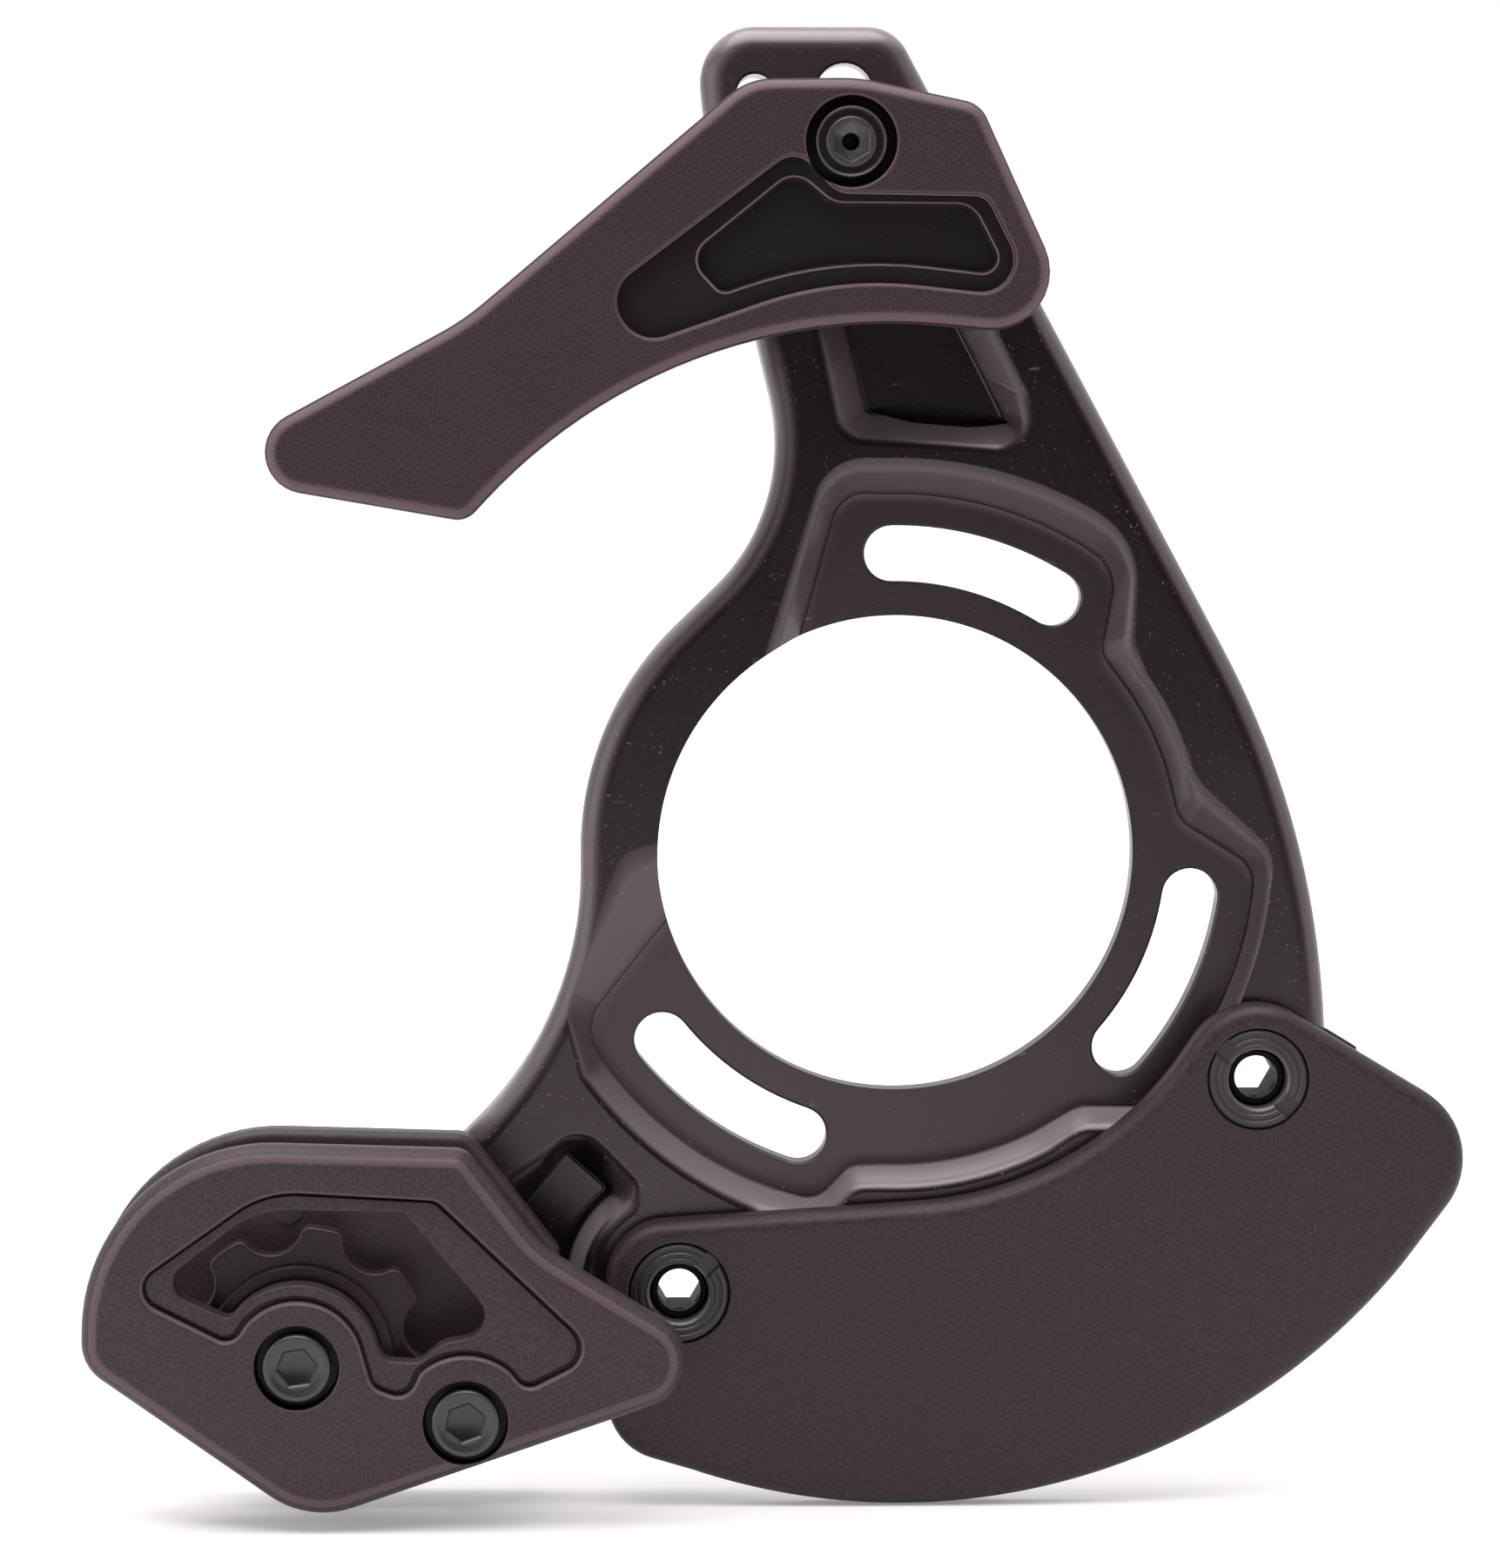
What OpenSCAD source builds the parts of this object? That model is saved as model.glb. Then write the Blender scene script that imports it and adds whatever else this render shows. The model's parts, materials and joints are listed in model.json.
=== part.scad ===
// Chain guide for a bicycle crank with three-slot frame tabs.
// X points to the front of the bicycle, Z up, and -Y out towards the crank.
// The origin is the bottom bracket's axis on the plate's mounting face.
// Outlines are lists of corners [x, z, radius] or [x, z, radius, steps], in millimetres,
// counter-clockwise as seen from the crank side. A long arc's corner lies outside the shape.

/* [Backplate] */
// Radius of the bottom bracket hole
bb_r = 29; // [28.5:0.1:29.5]
// Radius of the circle that the frame slots lie on
slot_circle_r = 36.5; // [36.3:0.1:36.7]
// Half width of a frame slot
slot_r = 3.4; // [3:0.1:3.6]
// Angle that each frame slot spans between its end centres
slot_span = 32.4; // [26:0.2:34]
// Thickness of the plate where it is raised
plate_t = 7.5; // [7:0.1:8]
// Thickness of the plate in the sunk floor round the frame slots
floor_t = 4; // [3:0.1:4.5]
// Radius of the plate's rounded front edge
plate_edge = 2.8; // [1.5:0.1:3]

/* [Head and upper guide] */
// Height of the guide's bolt above the bottom bracket
bolt_z = 85; // [82:0.5:88]
// Sideways place of the guide's bolt
bolt_x = -6.5; // [-7:0.1:-6]
// Sideways place of the narrow slot that keeps the guide from turning
peg_slot_x = -17.2; // [-17.6:0.1:-16.8]
// Front face of the upper guide, in front of the mounting face
guide_front = 26; // [25.5:0.1:26.5]

/* [Pulley cage] */
// Pulley axle, sideways and up
axle = [-71.9, -59]; // [-80:0.1:-40]
// Second cage screw, sideways and up
cage_bolt = [-52, -65.7]; // [-80:0.1:-40]
// Chain line in front of the mounting face
chain_line = 17.5; // [17.3:0.1:17.7]
// Free width between the two side plates of a guide
channel_w = 10; // [9.6:0.1:10.2]
// Front face of the cage, in front of the mounting face
cage_front = 25.5; // [25.2:0.1:26]
// Number of teeth on the pulley
teeth = 8; // [8:1:8]
// Radius of the circle through the centres of the chain rollers
pitch_r = 16.6; // [16.5:0.05:16.7]
// Outer radius of the pulley's teeth
tip_r = 15.8; // [15.4:0.1:16.2]

/* [Bash guard] */
// Front face of the guard, in front of the mounting face
bash_front = 12.1; // [11.8:0.1:12.5]
// Radius of the guard's lower edge round the bottom bracket
bash_r = 78.5; // [77:0.1:79]
// Left chainring nut, sideways and up
left_nut = [-26.5, -52.7]; // [-60:0.1:60]
// Right chainring nut, sideways and up
right_nut = [43.6, -26.9]; // [-60:0.1:60]

/* [Hidden] */

alloy = "#2a2527";
plastic = "#473f41";
moulded = "#544a4c";
steel = "#5d6868";
bright = "#a9adaf";

fn_bore = 72;
fn_small = 40;
// Play between a screw, pin or nut and its hole
play = 0.05;
// How far a cutter runs past the face that it opens
past = 1;
// Faces of the chain channel that both guides share
inner_face = chain_line - channel_w / 2 - 1;
outer_face = chain_line + channel_w / 2 - 1;
guide_edge = 1.8;
cage_edge = 2.6;
bash_edge = 2;

// Middle angle of each frame slot
slot_angles = [74.5, -24.7, -125];
// Head slots
bolt_slot_r = 3.4;
bolt_slot_z = [76, 91.9];
peg_slot_r = 2.2;
peg_slot_z = [76, 91.8];
peg_r = 2.1;
peg_z = [81, 86.5];
// Beds for bolt heads and the T-nut in the plate's back
bed_t = 2.2;
t_nut_bed_w = 12.4;
t_nut_bed_z = [74.5, 96];
t_nut_size = [11.8, 10];

// Screws
shank_r = 2.45;
cap_r = 4;
cap_h = 2.5;
cap_bed_r = 5;
cap_bed_y = 23.2;
key_af = 4;
guide_bed_r = 5.3;
guide_cap_r = 4.15;

// Chainring nuts
nut_flange_r = 6;
nut_flange_t = 1.8;
nut_barrel_r = 4.9;
nut_bore_r = 3.6;
key_slot_w = 2.2;

// Bearing, 6 x 19 x 6
bearing_r = 9.5;
bearing_bore_r = 3;
bearing_w = 6;
ball_r = 1.75;
ball_circle_r = 6.35;
ball_count = 7;
ring_in = 4.75;
ring_out = 7.95;

// Wheel
hub_r = 11.3;
hub_back = chain_line - bearing_w / 2;
hub_front = chain_line + bearing_w / 2;
web_t = 3.2;
wheel_turn = 10.5;
root_r = 12.75;
tooth_step = 360 / teeth;
gap_r = pitch_r - root_r;

// Back of the plate's outer edge, and its rounded front
plate_outline = concat(
    [
        [53.3, -36, 8.6], [51.5, 3.4, 107, 10], [-0.4, 99.8, 5.3], [-24.2, 99.8, 6.5],
        [-23.4, 89.3, 30, 2], [-12.1, 41.9, 24, 9], [-38.4, 16.4, 38.4, 9], [-38.4, -20, 43, 8],
        [-60, -41.6, 12, 3], [-80.5, -50.5, 7.5], [-80.5, -66.8, 7.5], [-60, -72, 5, 2],
        [-44, -67.2, 5, 2], [-35.5, -61.9, 5, 2], [-17.3, -61.9, 8.8], [-17.3, -46.3, 3]
    ],
    arc([0, 0], 48, 254, 312, 10)
);

lug_ledge = [[50, -20.4], [52.6, -21.4], [56.2, -23.6], [56.2, -28], [50, -28]];

// Sunk floor round the frame slots, then the mouth of its sloping wall, corner for corner
ring_floor = concat(
    arc([0, 0], 43.8, -39, -7, 5), [[43.9, -1.9, 4], [34.6, 3.9, 4]],
    arc([0, 0], 34.5, 12, 37, 4), [[24.9, 24.4, 3.5], [26.8, 34.6, 5]],
    arc([0, 0], 43.7, 59, 92, 5),
    [[-6.7, 43.9, 4], [-14, 17.5, 0], [-20, 1.5, 0], [-30.5, -11.4, 0.5], [-38.1, -21, 5]],
    arc([0, 0], 43.5, 215, 251, 6), [[-9.8, -42.4, 3.2], [-5.7, -38.1, 3.2]],
    arc([0, 0], 38, 267, 297, 5), [[22.3, -30.9, 5], [31.2, -31, 3.5]]
);
ring_mouth = concat(
    arc([0, 0], 45.4, -39, -7, 5), [[45.8, -0.3, 5], [36.9, 7.4, 5]],
    arc([0, 0], 36.9, 15, 36, 4), [[28.2, 25.2, 6], [29.3, 37.6, 7]],
    arc([0, 0], 47.3, 60, 92, 5),
    [[-8.3, 47.4, 6], [-17.4, 17.5, 0], [-24, 2, 0], [-32.6, -1.6, 3.5], [-40.4, -17.8, 6]],
    arc([0, 0], 46.4, 215, 249, 6), [[-9, -44.6, 4.5], [-4.9, -40.6, 3]],
    arc([0, 0], 40.6, 267, 297, 5), [[22.6, -33.4, 5], [33.4, -33.2, 4]]
);

// Pocket in the neck
neck_floor = [[-3.5, 53.8, 0.6], [13.1, 52.4, 0.6], [10.2, 58.2, 1], [4.9, 68.4, 2], [-6.9, 68.8, 2]];
neck_mouth = [[-6.8, 50.4, 3.5], [16.3, 48.9, 3.5], [15.3, 55.6, 3], [7.4, 71.4, 3], [-11.4, 71.4, 3]];
neck_groove_t = 1.4;
neck_groove = [[-3.6, 53.9, 0.1], [5, 51.2, 30], [14.1, 52.3, 0.1], [4, 55.8, 25]];

// Pocket in the arm beside the cage
arm_floor = concat(
    [[-40.1, -36.9, 0.4], [-43.4, -40.9, 3], [-49, -47.5, 1.5], [-44, -55, 2]],
    arc(left_nut, 14.5, 188, 131, 4), [[-34.4, -41.9, 0.6]]
);
arm_mouth = concat(
    [[-38.9, -33.4, 3.2], [-42.8, -37, 5], [-53, -44.5, 2], [-46, -57.5, 2]],
    arc(left_nut, 11.5, 188, 124, 4), [[-31.4, -41, 2.4]]
);
arm_floor_t = 3;

// Upper guide
guide_outline = [
    [21.1, 62, 6.8], [8.6, 89.4, 3.6], [-5.5, 92.4, 20, 3], [-18.5, 92.3, 8, 3], [-51.7, 64.3, 30, 3],
    [-84.6, 46.5, 4.8, 7], [-51.5, 40.8, 2.8], [-27.3, 66.8, 65, 12]
];
guide_pocket = [
    [15.6, 66.6, 4], [9.4, 78.9, 2.4], [-8, 79.2, 3.4], [-12.9, 84.5, 3], [-35.6, 67.4, 3.4],
    [-31.2, 61.2, 2.2], [-8.1, 69.2, 42, 4]
];
guide_deep_pocket = [
    [12, 69.4, 1.6], [7.7, 77.8, 2], [-8.6, 77.9, 3.5], [-13.1, 81.7, 2.2], [-25.6, 71.6, 1.6],
    [-21.6, 67.3, 1.2], [-8.6, 71.8, 48, 4]
];
guide_pocket_t = 1.8;
guide_deep_pocket_t = 3.2;
// Stretch of the guide's rim that carries the channel's roof
guide_roof = [[-66, 50], [4, 84], [12, 90], [4, 100], [-70, 100]];
guide_roof_w = 2.2;
// Free space between the sliding guide and the backplate
slide_gap = 0.05;

// Pulley cage
cage_outline = [
    [-18.3, -60.2, 5.7, 8], [-43, -44.9, 15, 3], [-51.9, -33.3, 2.8], [-97, -31.9, 22.5, 10],
    [-97.5, -59, 5.5], [-70.7, -78, 11, 5]
];
// The inner plate ends short of the bash guard
cage_inner_outline = [
    [-41, -67.3, 3], [-41, -47.5, 1.5], [-51.9, -33.3, 2.8], [-97, -31.9, 22.5, 10],
    [-97.5, -59, 5.5], [-70.7, -78, 11, 5]
];
cage_sunk = concat(
    [[-36.1, -57.6, 3], [-55.3, -39.2, 2.4, 3], [-75.5, -38, 12, 4],
     [-92.4, -49.9, 2.6], [-79.6, -56.4, 2]],
    arc(axle, 7.9, 140, 20, 8), [[-63, -61.5, 2.2], [-58.9, -63, 2.2]],
    arc(cage_bolt, 8, 132, 48, 5), [[-44.9, -62, 2]]
);
cage_window = concat(
    [[-47.3, -54.9, 2.8], [-59.2, -40.7, 1.4, 3], [-76.5, -40.2, 12, 4],
     [-88.4, -49.4, 2.2], [-79.9, -53.3, 1.2]],
    arc(axle, 9.8, 132, 14, 8), [[-61.6, -58.3, 1.4], [-57.6, -58.6, 2], [-54.8, -56.3, 3]]
);
cage_sunk_t = 0.8;

// Bash guard
bash_outline = concat(
    [[73.3, -34.2, 9.5, 8], [41, -14.8, 9, 7]],
    arc([0, 0], 42.2, -37, -86, 9),
    [[-35.4, -44.5, 7.5], [-35.2, -71.6, 7.5]],
    arc([0.6, -0.4], bash_r, 251, 321, 22)
);

// Points of an arc round c from angle a0 to a1, as sharp corners
function arc(c, r, a0, a1, n) = [for (i = [0:n]) let (a = a0 + (a1 - a0) * i / n)
    [c[0] + r * cos(a), c[1] + r * sin(a), 0]];

function place(p) = [p[0], p[1]];
function points_of(path) = [for (p = path) place(p)];
function unit(v) = v / norm(v);
function left_of(v) = [-v[1], v[0]];
function turn_of(d, e) = atan2(d[0] * e[1] - d[1] * e[0], d * e);

// Points of one corner b between a and c, rounded to its radius
function corner(a, b, c) = let (
    d = unit(place(b) - place(a)), e = unit(place(c) - place(b)), turn = turn_of(d, e),
    r = b[2], n = b[3] == undef ? 5 : b[3], side = turn > 0 ? 1 : -1,
    start = place(b) - d * r * tan(abs(turn) / 2), middle = start + left_of(d) * r * side,
    a0 = atan2(start[1] - middle[1], start[0] - middle[0])
) r == 0 ? [place(b)] : [for (i = [0:n]) middle + r * [cos(a0 + turn * i / n), sin(a0 + turn * i / n)]];

function rounded(path) = let (n = len(path))
    [for (i = [0:n - 1]) each corner(path[(i + n - 1) % n], path[i], path[(i + 1) % n])];

// The same corners with every edge moved inwards by d
function inset(path, d) = let (n = len(path)) [for (i = [0:n - 1]) let (
    a = place(path[(i + n - 1) % n]), b = path[i], c = place(path[(i + 1) % n]),
    u = left_of(unit(place(b) - a)), v = left_of(unit(c - place(b))),
    p = place(b) + d * (u + v) / (1 + u * v), bend = turn_of(u, v) > 0 ? -1 : 1
) [p[0], p[1], b[2] == 0 ? 0 : b[2] + bend * d, b[3]]];

// Round bottom of the gap between two teeth, and the tip of a tooth, both clockwise
function tooth_gap(a) = [for (i = [-4:4]) let (b = a + 180 + i * 16)
    pitch_r * [cos(a), sin(a)] + gap_r * [cos(b), sin(b)]];
function tooth_tip(a) = [for (i = [1:-1:-1]) tip_r * [cos(a + i * 7), sin(a + i * 7)]];
wheel_outline = [for (k = [0:teeth - 1]) let (a = 90 - wheel_turn - k * tooth_step)
    each concat(tooth_tip(a), tooth_gap(a - tooth_step / 2))];

// Solid through rings [depth in front of the mounting face, points], back ring first
module loft(rings) {
    n = len(rings[0][1]);
    last = len(rings) - 1;
    polyhedron(
        points = [for (ring = rings) for (p = ring[1]) [p[0], -ring[0], p[1]]],
        faces = concat(
            [[for (i = [0:n - 1]) i]],
            [for (k = [0:last - 1]) for (i = [0:n - 1]) let (j = (i + 1) % n)
                [k * n + i, k * n + n + i, k * n + n + j, k * n + j]],
            [[for (i = [n - 1:-1:0]) last * n + i]]
        )
    );
}

// Corners part of the way from one path to another, corner for corner
function between(path, other, t) = [for (i = [0:len(path) - 1]) let (p = path[i], q = other[i])
    [p[0] + (q[0] - p[0]) * t, p[1] + (q[1] - p[1]) * t, p[2] + (q[2] - p[2]) * t, p[3]]];

// Flat solid of the shape below it, between two depths
module slab(back, front) {
    translate([0, -back, 0]) rotate([90, 0, 0]) linear_extrude(front - back) children();
}

// The stretch of a solid that lies between two depths
module cut_flat(back, front) {
    intersection() {
        children();
        slab(back, front) square(400, center = true);
    }
}

// Plate between two depths with a rounded front edge
module edged_plate(path, back, front, edge, steps = 2) {
    top = front + 0.02;
    cut_flat(back, front)
        loft(concat([[back - past, rounded(path)]], [for (i = [0:steps]) let (a = 90 * i / steps)
            [top - edge * (1 - sin(a)), rounded(inset(path, edge * (1 - cos(a))))]]));
}

// Cutter whose walls slope from a floor path to a mouth path, and on past the mouth
module sloped_cutter(floor_path, mouth_path, floor_depth, mouth_depth) {
    on = 0.6;
    t = on / (mouth_depth - floor_depth);
    cut_flat(floor_depth, mouth_depth + on / 2)
        loft([
            [floor_depth - on, rounded(between(floor_path, mouth_path, -t))],
            [mouth_depth + on, rounded(between(floor_path, mouth_path, 1 + t))]
        ]);
}

// Round bar along Y at p, between two depths
module bar(p, r, back, front, fn = fn_small) {
    translate([p[0], -back, p[1]]) rotate([90, 0, 0]) cylinder(h = front - back, r = r, $fn = fn);
}

module tube(p, r_out, r_in, back, front, fn = fn_small) {
    difference() {
        bar(p, r_out, back, front, fn);
        bar(p, r_in, back - past, front + past, fn);
    }
}

// Hexagon key socket, across flats
module key_socket(p, across, back, front) {
    translate([p[0], -back, p[1]]) rotate([90, 0, 0])
        cylinder(h = front - back, r = across / sqrt(3), $fn = 6);
}

// Straight slot along Z through the plate, with round ends
module z_slot(x, z_range, r) {
    slab(-past, plate_t + past) polygon(points_of(concat(
        arc([x, z_range[0]], r, 180, 360, 8), arc([x, z_range[1]], r, 0, 180, 8)
    )));
}

// Curved frame slot about its middle angle
module frame_slot(angle) {
    a0 = angle - slot_span / 2;
    a1 = angle + slot_span / 2;
    end0 = slot_circle_r * [cos(a0), sin(a0)];
    end1 = slot_circle_r * [cos(a1), sin(a1)];
    slab(-past, plate_t + past) polygon(points_of(concat(
        arc(end0, slot_r, a0 + 180, a0 + 360, 8), arc([0, 0], slot_circle_r + slot_r, a0 + 4, a1 - 4, 5),
        arc(end1, slot_r, a1, a1 + 180, 8), arc([0, 0], slot_circle_r - slot_r, a1 - 4, a0 + 4, 5)
    )));
}

// Holes for one chainring nut and its bolt, through plate and guard
module nut_holes(p) {
    bar(p, nut_barrel_r + 2 * play, -past, bash_front + past);
    bar(p, nut_flange_r + 4 * play, -past, bed_t);
    bar(p, nut_flange_r + 3 * play, bash_front - nut_flange_t - 0.1, bash_front + past);
}

module backplate() color(alloy) difference() {
    union() {
        edged_plate(plate_outline, 0, plate_t, plate_edge);
        // Low ledge on the right lug, behind the guard
        slab(4, plate_t - 0.4) polygon(lug_ledge);
    }
    sloped_cutter(ring_floor, ring_mouth, floor_t, plate_t);
    sloped_cutter(neck_floor, neck_mouth, floor_t, plate_t);
    slab(neck_groove_t, floor_t + past) polygon(rounded(neck_groove));
    sloped_cutter(arm_floor, arm_mouth, arm_floor_t, plate_t);
    bar([0, 0], bb_r, -past, plate_t + past, fn_bore * 2);
    for (angle = slot_angles) frame_slot(angle);
    z_slot(bolt_x, bolt_slot_z, bolt_slot_r);
    z_slot(peg_slot_x, peg_slot_z, peg_slot_r);
    slab(-past, bed_t) translate([bolt_x - t_nut_bed_w / 2, t_nut_bed_z[0]])
        square([t_nut_bed_w, t_nut_bed_z[1] - t_nut_bed_z[0]]);
    nut_holes(left_nut);
    nut_holes(right_nut);
    for (p = [axle, cage_bolt]) bar(p, shank_r + play, -past, plate_t + past);
}

module upper_outer_shell() color(plastic) difference() {
    union() {
        edged_plate(guide_outline, outer_face, guide_front, guide_edge);
        // Wall that closes the top of the channel
        intersection() {
            slab(inner_face, outer_face + past) difference() {
                polygon(rounded(inset(guide_outline, 0.4)));
                polygon(rounded(inset(guide_outline, 0.4 + guide_roof_w)));
            }
            slab(inner_face - past, outer_face + 2 * past) polygon(guide_roof);
        }
    }
    sloped_cutter(inset(guide_pocket, 0.5), guide_pocket, guide_front - guide_pocket_t, guide_front);
    slab(guide_front - guide_deep_pocket_t, guide_front) polygon(rounded(guide_deep_pocket));
    bar([bolt_x, bolt_z], guide_bed_r, cap_bed_y, guide_front + past);
    bar([bolt_x, bolt_z], shank_r + play, outer_face - past, guide_front);
}

module upper_inner_plate() color(plastic) difference() {
    union() {
        edged_plate(inset(guide_outline, 0.3), plate_t + slide_gap, inner_face, 1);
        for (z = peg_z) bar([peg_slot_x, z], peg_r, 1.5, plate_t + past);
    }
    bar([bolt_x, bolt_z], shank_r + play, plate_t - past, inner_face + past);
}

module upper_spacer() color(bright) tube([bolt_x, bolt_z], 4.5, shank_r + play, inner_face, outer_face);

module upper_t_nut() color(steel) difference() {
    union() {
        slab(0.2, bed_t - slide_gap) translate([bolt_x, bolt_z]) square(t_nut_size, center = true);
        bar([bolt_x, bolt_z], bolt_slot_r - 2 * play, bed_t - 0.2, plate_t - 0.3);
    }
    bar([bolt_x, bolt_z], shank_r + play, -past, plate_t + past);
}

module upper_bolt() color(steel) difference() {
    union() {
        bar([bolt_x, bolt_z], guide_cap_r, cap_bed_y, guide_front - 0.5);
        bar([bolt_x, bolt_z], shank_r, 0.6, cap_bed_y + 0.1);
    }
    key_socket([bolt_x, bolt_z], key_af, guide_front - 2.4, guide_front + past);
}

module cage_outer_plate() color(moulded) difference() {
    edged_plate(cage_outline, outer_face, cage_front, cage_edge);
    slab(cage_front - cage_sunk_t, cage_front + past) polygon(rounded(cage_sunk));
    slab(outer_face - past, cage_front) polygon(rounded(cage_window));
    for (p = [axle, cage_bolt]) {
        bar(p, cap_bed_r, cap_bed_y, cage_front + past);
        bar(p, shank_r + play, outer_face - past, cage_front);
    }
}

module cage_inner_plate() color(moulded) difference() {
    edged_plate(cage_inner_outline, plate_t, inner_face, 1.2);
    for (p = [axle, cage_bolt]) bar(p, shank_r + play, plate_t - past, inner_face + past);
}

module cage_spacer() color(bright) tube(cage_bolt, 4.5, shank_r + play, inner_face, outer_face);

// Socket head screw from the cage's front into the backplate
module cap_screw(p) {
    chamfer = 0.3;
    shoulder = cap_bed_y + cap_h - chamfer;
    difference() {
        union() {
            bar(p, cap_r, cap_bed_y, shoulder);
            translate([p[0], -shoulder, p[1]]) rotate([90, 0, 0])
                cylinder(h = chamfer, r1 = cap_r, r2 = cap_r - chamfer, $fn = fn_small);
            bar(p, shank_r, 0.8, cap_bed_y + 0.1);
        }
        key_socket(p, key_af, cap_bed_y + 0.4, cap_bed_y + cap_h + past);
    }
}

module cage_screw() color(steel) cap_screw(cage_bolt);
module pulley_screw() color(steel) cap_screw(axle);

// Top-hat bush: flange against the cage, spigot in the bearing
module bush(flange_back, flange_front, spigot_back, spigot_front) {
    tube(axle, 4.5, shank_r + play, flange_back, flange_front);
    tube(axle, bearing_bore_r - 0.03, shank_r + play, spigot_back, spigot_front);
}

module pulley_back_bush() color(bright) bush(inner_face, hub_back, hub_back - 0.5, chain_line - 0.1);
module pulley_front_bush() color(bright) bush(hub_front, outer_face, chain_line + 0.1, hub_front + 0.5);

module pulley_wheel() color(plastic) difference() {
    union() {
        slab(chain_line - web_t / 2, chain_line + web_t / 2) translate(axle) polygon(wheel_outline);
        bar(axle, hub_r, hub_back, hub_front, fn_bore);
    }
    bar(axle, bearing_r, hub_back - past, hub_front + past, fn_bore);
}

// Ring of the bearing with its ball groove
module bearing_ring(r_out, r_in) {
    translate([axle[0], -chain_line, axle[1]]) rotate([90, 0, 0]) difference() {
        cylinder(h = bearing_w, r = r_out, center = true, $fn = fn_bore);
        cylinder(h = bearing_w + 2, r = r_in, center = true, $fn = fn_bore);
        rotate_extrude($fn = fn_bore) translate([ball_circle_r, 0]) circle(r = ball_r + play, $fn = 24);
    }
}
module bearing_outer_ring() color(bright) bearing_ring(bearing_r, ring_out);
module bearing_inner_ring() color(bright) bearing_ring(ring_in, bearing_bore_r);
module bearing_balls() color(bright) for (i = [0:ball_count - 1])
    translate([axle[0], -chain_line, axle[1]]) rotate([0, i * 360 / ball_count, 0])
        translate([ball_circle_r, 0, 0]) sphere(r = ball_r, $fn = 20);

module bearing_shield(back) tube(axle, ring_out, ring_in + 0.15, back, back + 0.3, fn_bore);
module bearing_front_shield() color("#3a3434") bearing_shield(hub_front - 0.6);
module bearing_back_shield() color("#3a3434") bearing_shield(hub_back + 0.3);

module bash_guard() color(plastic) difference() {
    edged_plate(bash_outline, plate_t, bash_front, bash_edge);
    nut_holes(left_nut);
    nut_holes(right_nut);
}

// Slotted nut with a wide flange, flush with the guard
module chainring_nut(p, slot_angle) {
    seat = bash_front - nut_flange_t - 0.1;
    difference() {
        union() {
            bar(p, nut_flange_r, seat, bash_front - 0.1);
            bar(p, nut_barrel_r, 2.4, seat + 0.1);
        }
        bar(p, nut_bore_r, 1, bash_front + past);
        slab(bash_front - 0.9, bash_front + past) translate(p) rotate(slot_angle)
            square([3 * nut_flange_r, key_slot_w], center = true);
    }
}
module left_chainring_nut() color(alloy) chainring_nut(left_nut, 45);
module right_chainring_nut() color(alloy) chainring_nut(right_nut, -42);

// Bolt from behind with a key socket right through
module chainring_bolt(p) {
    tip = bash_front - 2.6;
    difference() {
        union() {
            bar(p, nut_flange_r, 0.2, bed_t);
            bar(p, nut_bore_r - play, bed_t - 0.1, tip);
        }
        key_socket(p, 5, -past, tip - 1);
        bar(p, 2.6, tip - 1.5, tip + past);
    }
}
module left_chainring_bolt() color(steel) chainring_bolt(left_nut);
module right_chainring_bolt() color(steel) chainring_bolt(right_nut);

backplate();
upper_outer_shell();
upper_inner_plate();
upper_spacer();
upper_bolt();
upper_t_nut();
cage_outer_plate();
cage_inner_plate();
cage_spacer();
cage_screw();
pulley_wheel();
bearing_outer_ring();
bearing_inner_ring();
bearing_balls();
bearing_front_shield();
bearing_back_shield();
pulley_front_bush();
pulley_back_bush();
pulley_screw();
bash_guard();
left_chainring_nut();
right_chainring_nut();
left_chainring_bolt();
right_chainring_bolt();
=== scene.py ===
import json
import math

import bpy
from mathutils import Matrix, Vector

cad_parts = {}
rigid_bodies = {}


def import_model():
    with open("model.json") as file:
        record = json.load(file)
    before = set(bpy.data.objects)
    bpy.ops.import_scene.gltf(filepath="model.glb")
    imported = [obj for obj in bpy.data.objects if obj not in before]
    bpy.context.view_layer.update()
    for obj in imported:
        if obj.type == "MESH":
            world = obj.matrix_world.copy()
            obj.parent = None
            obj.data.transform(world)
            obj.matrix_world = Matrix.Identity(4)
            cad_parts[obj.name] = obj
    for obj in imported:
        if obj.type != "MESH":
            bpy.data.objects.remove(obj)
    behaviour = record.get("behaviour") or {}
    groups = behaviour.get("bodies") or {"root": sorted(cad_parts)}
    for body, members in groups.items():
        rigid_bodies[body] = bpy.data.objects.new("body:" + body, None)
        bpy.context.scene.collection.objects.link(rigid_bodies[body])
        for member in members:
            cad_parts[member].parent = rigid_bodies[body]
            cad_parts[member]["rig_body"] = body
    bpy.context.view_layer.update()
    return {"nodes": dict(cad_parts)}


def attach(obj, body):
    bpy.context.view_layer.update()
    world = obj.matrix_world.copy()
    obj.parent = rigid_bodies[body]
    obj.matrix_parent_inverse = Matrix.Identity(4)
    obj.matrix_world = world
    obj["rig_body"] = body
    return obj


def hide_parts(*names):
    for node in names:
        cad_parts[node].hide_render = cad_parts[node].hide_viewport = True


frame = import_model()
CAD = frame["nodes"]
MM = 0.001

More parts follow.
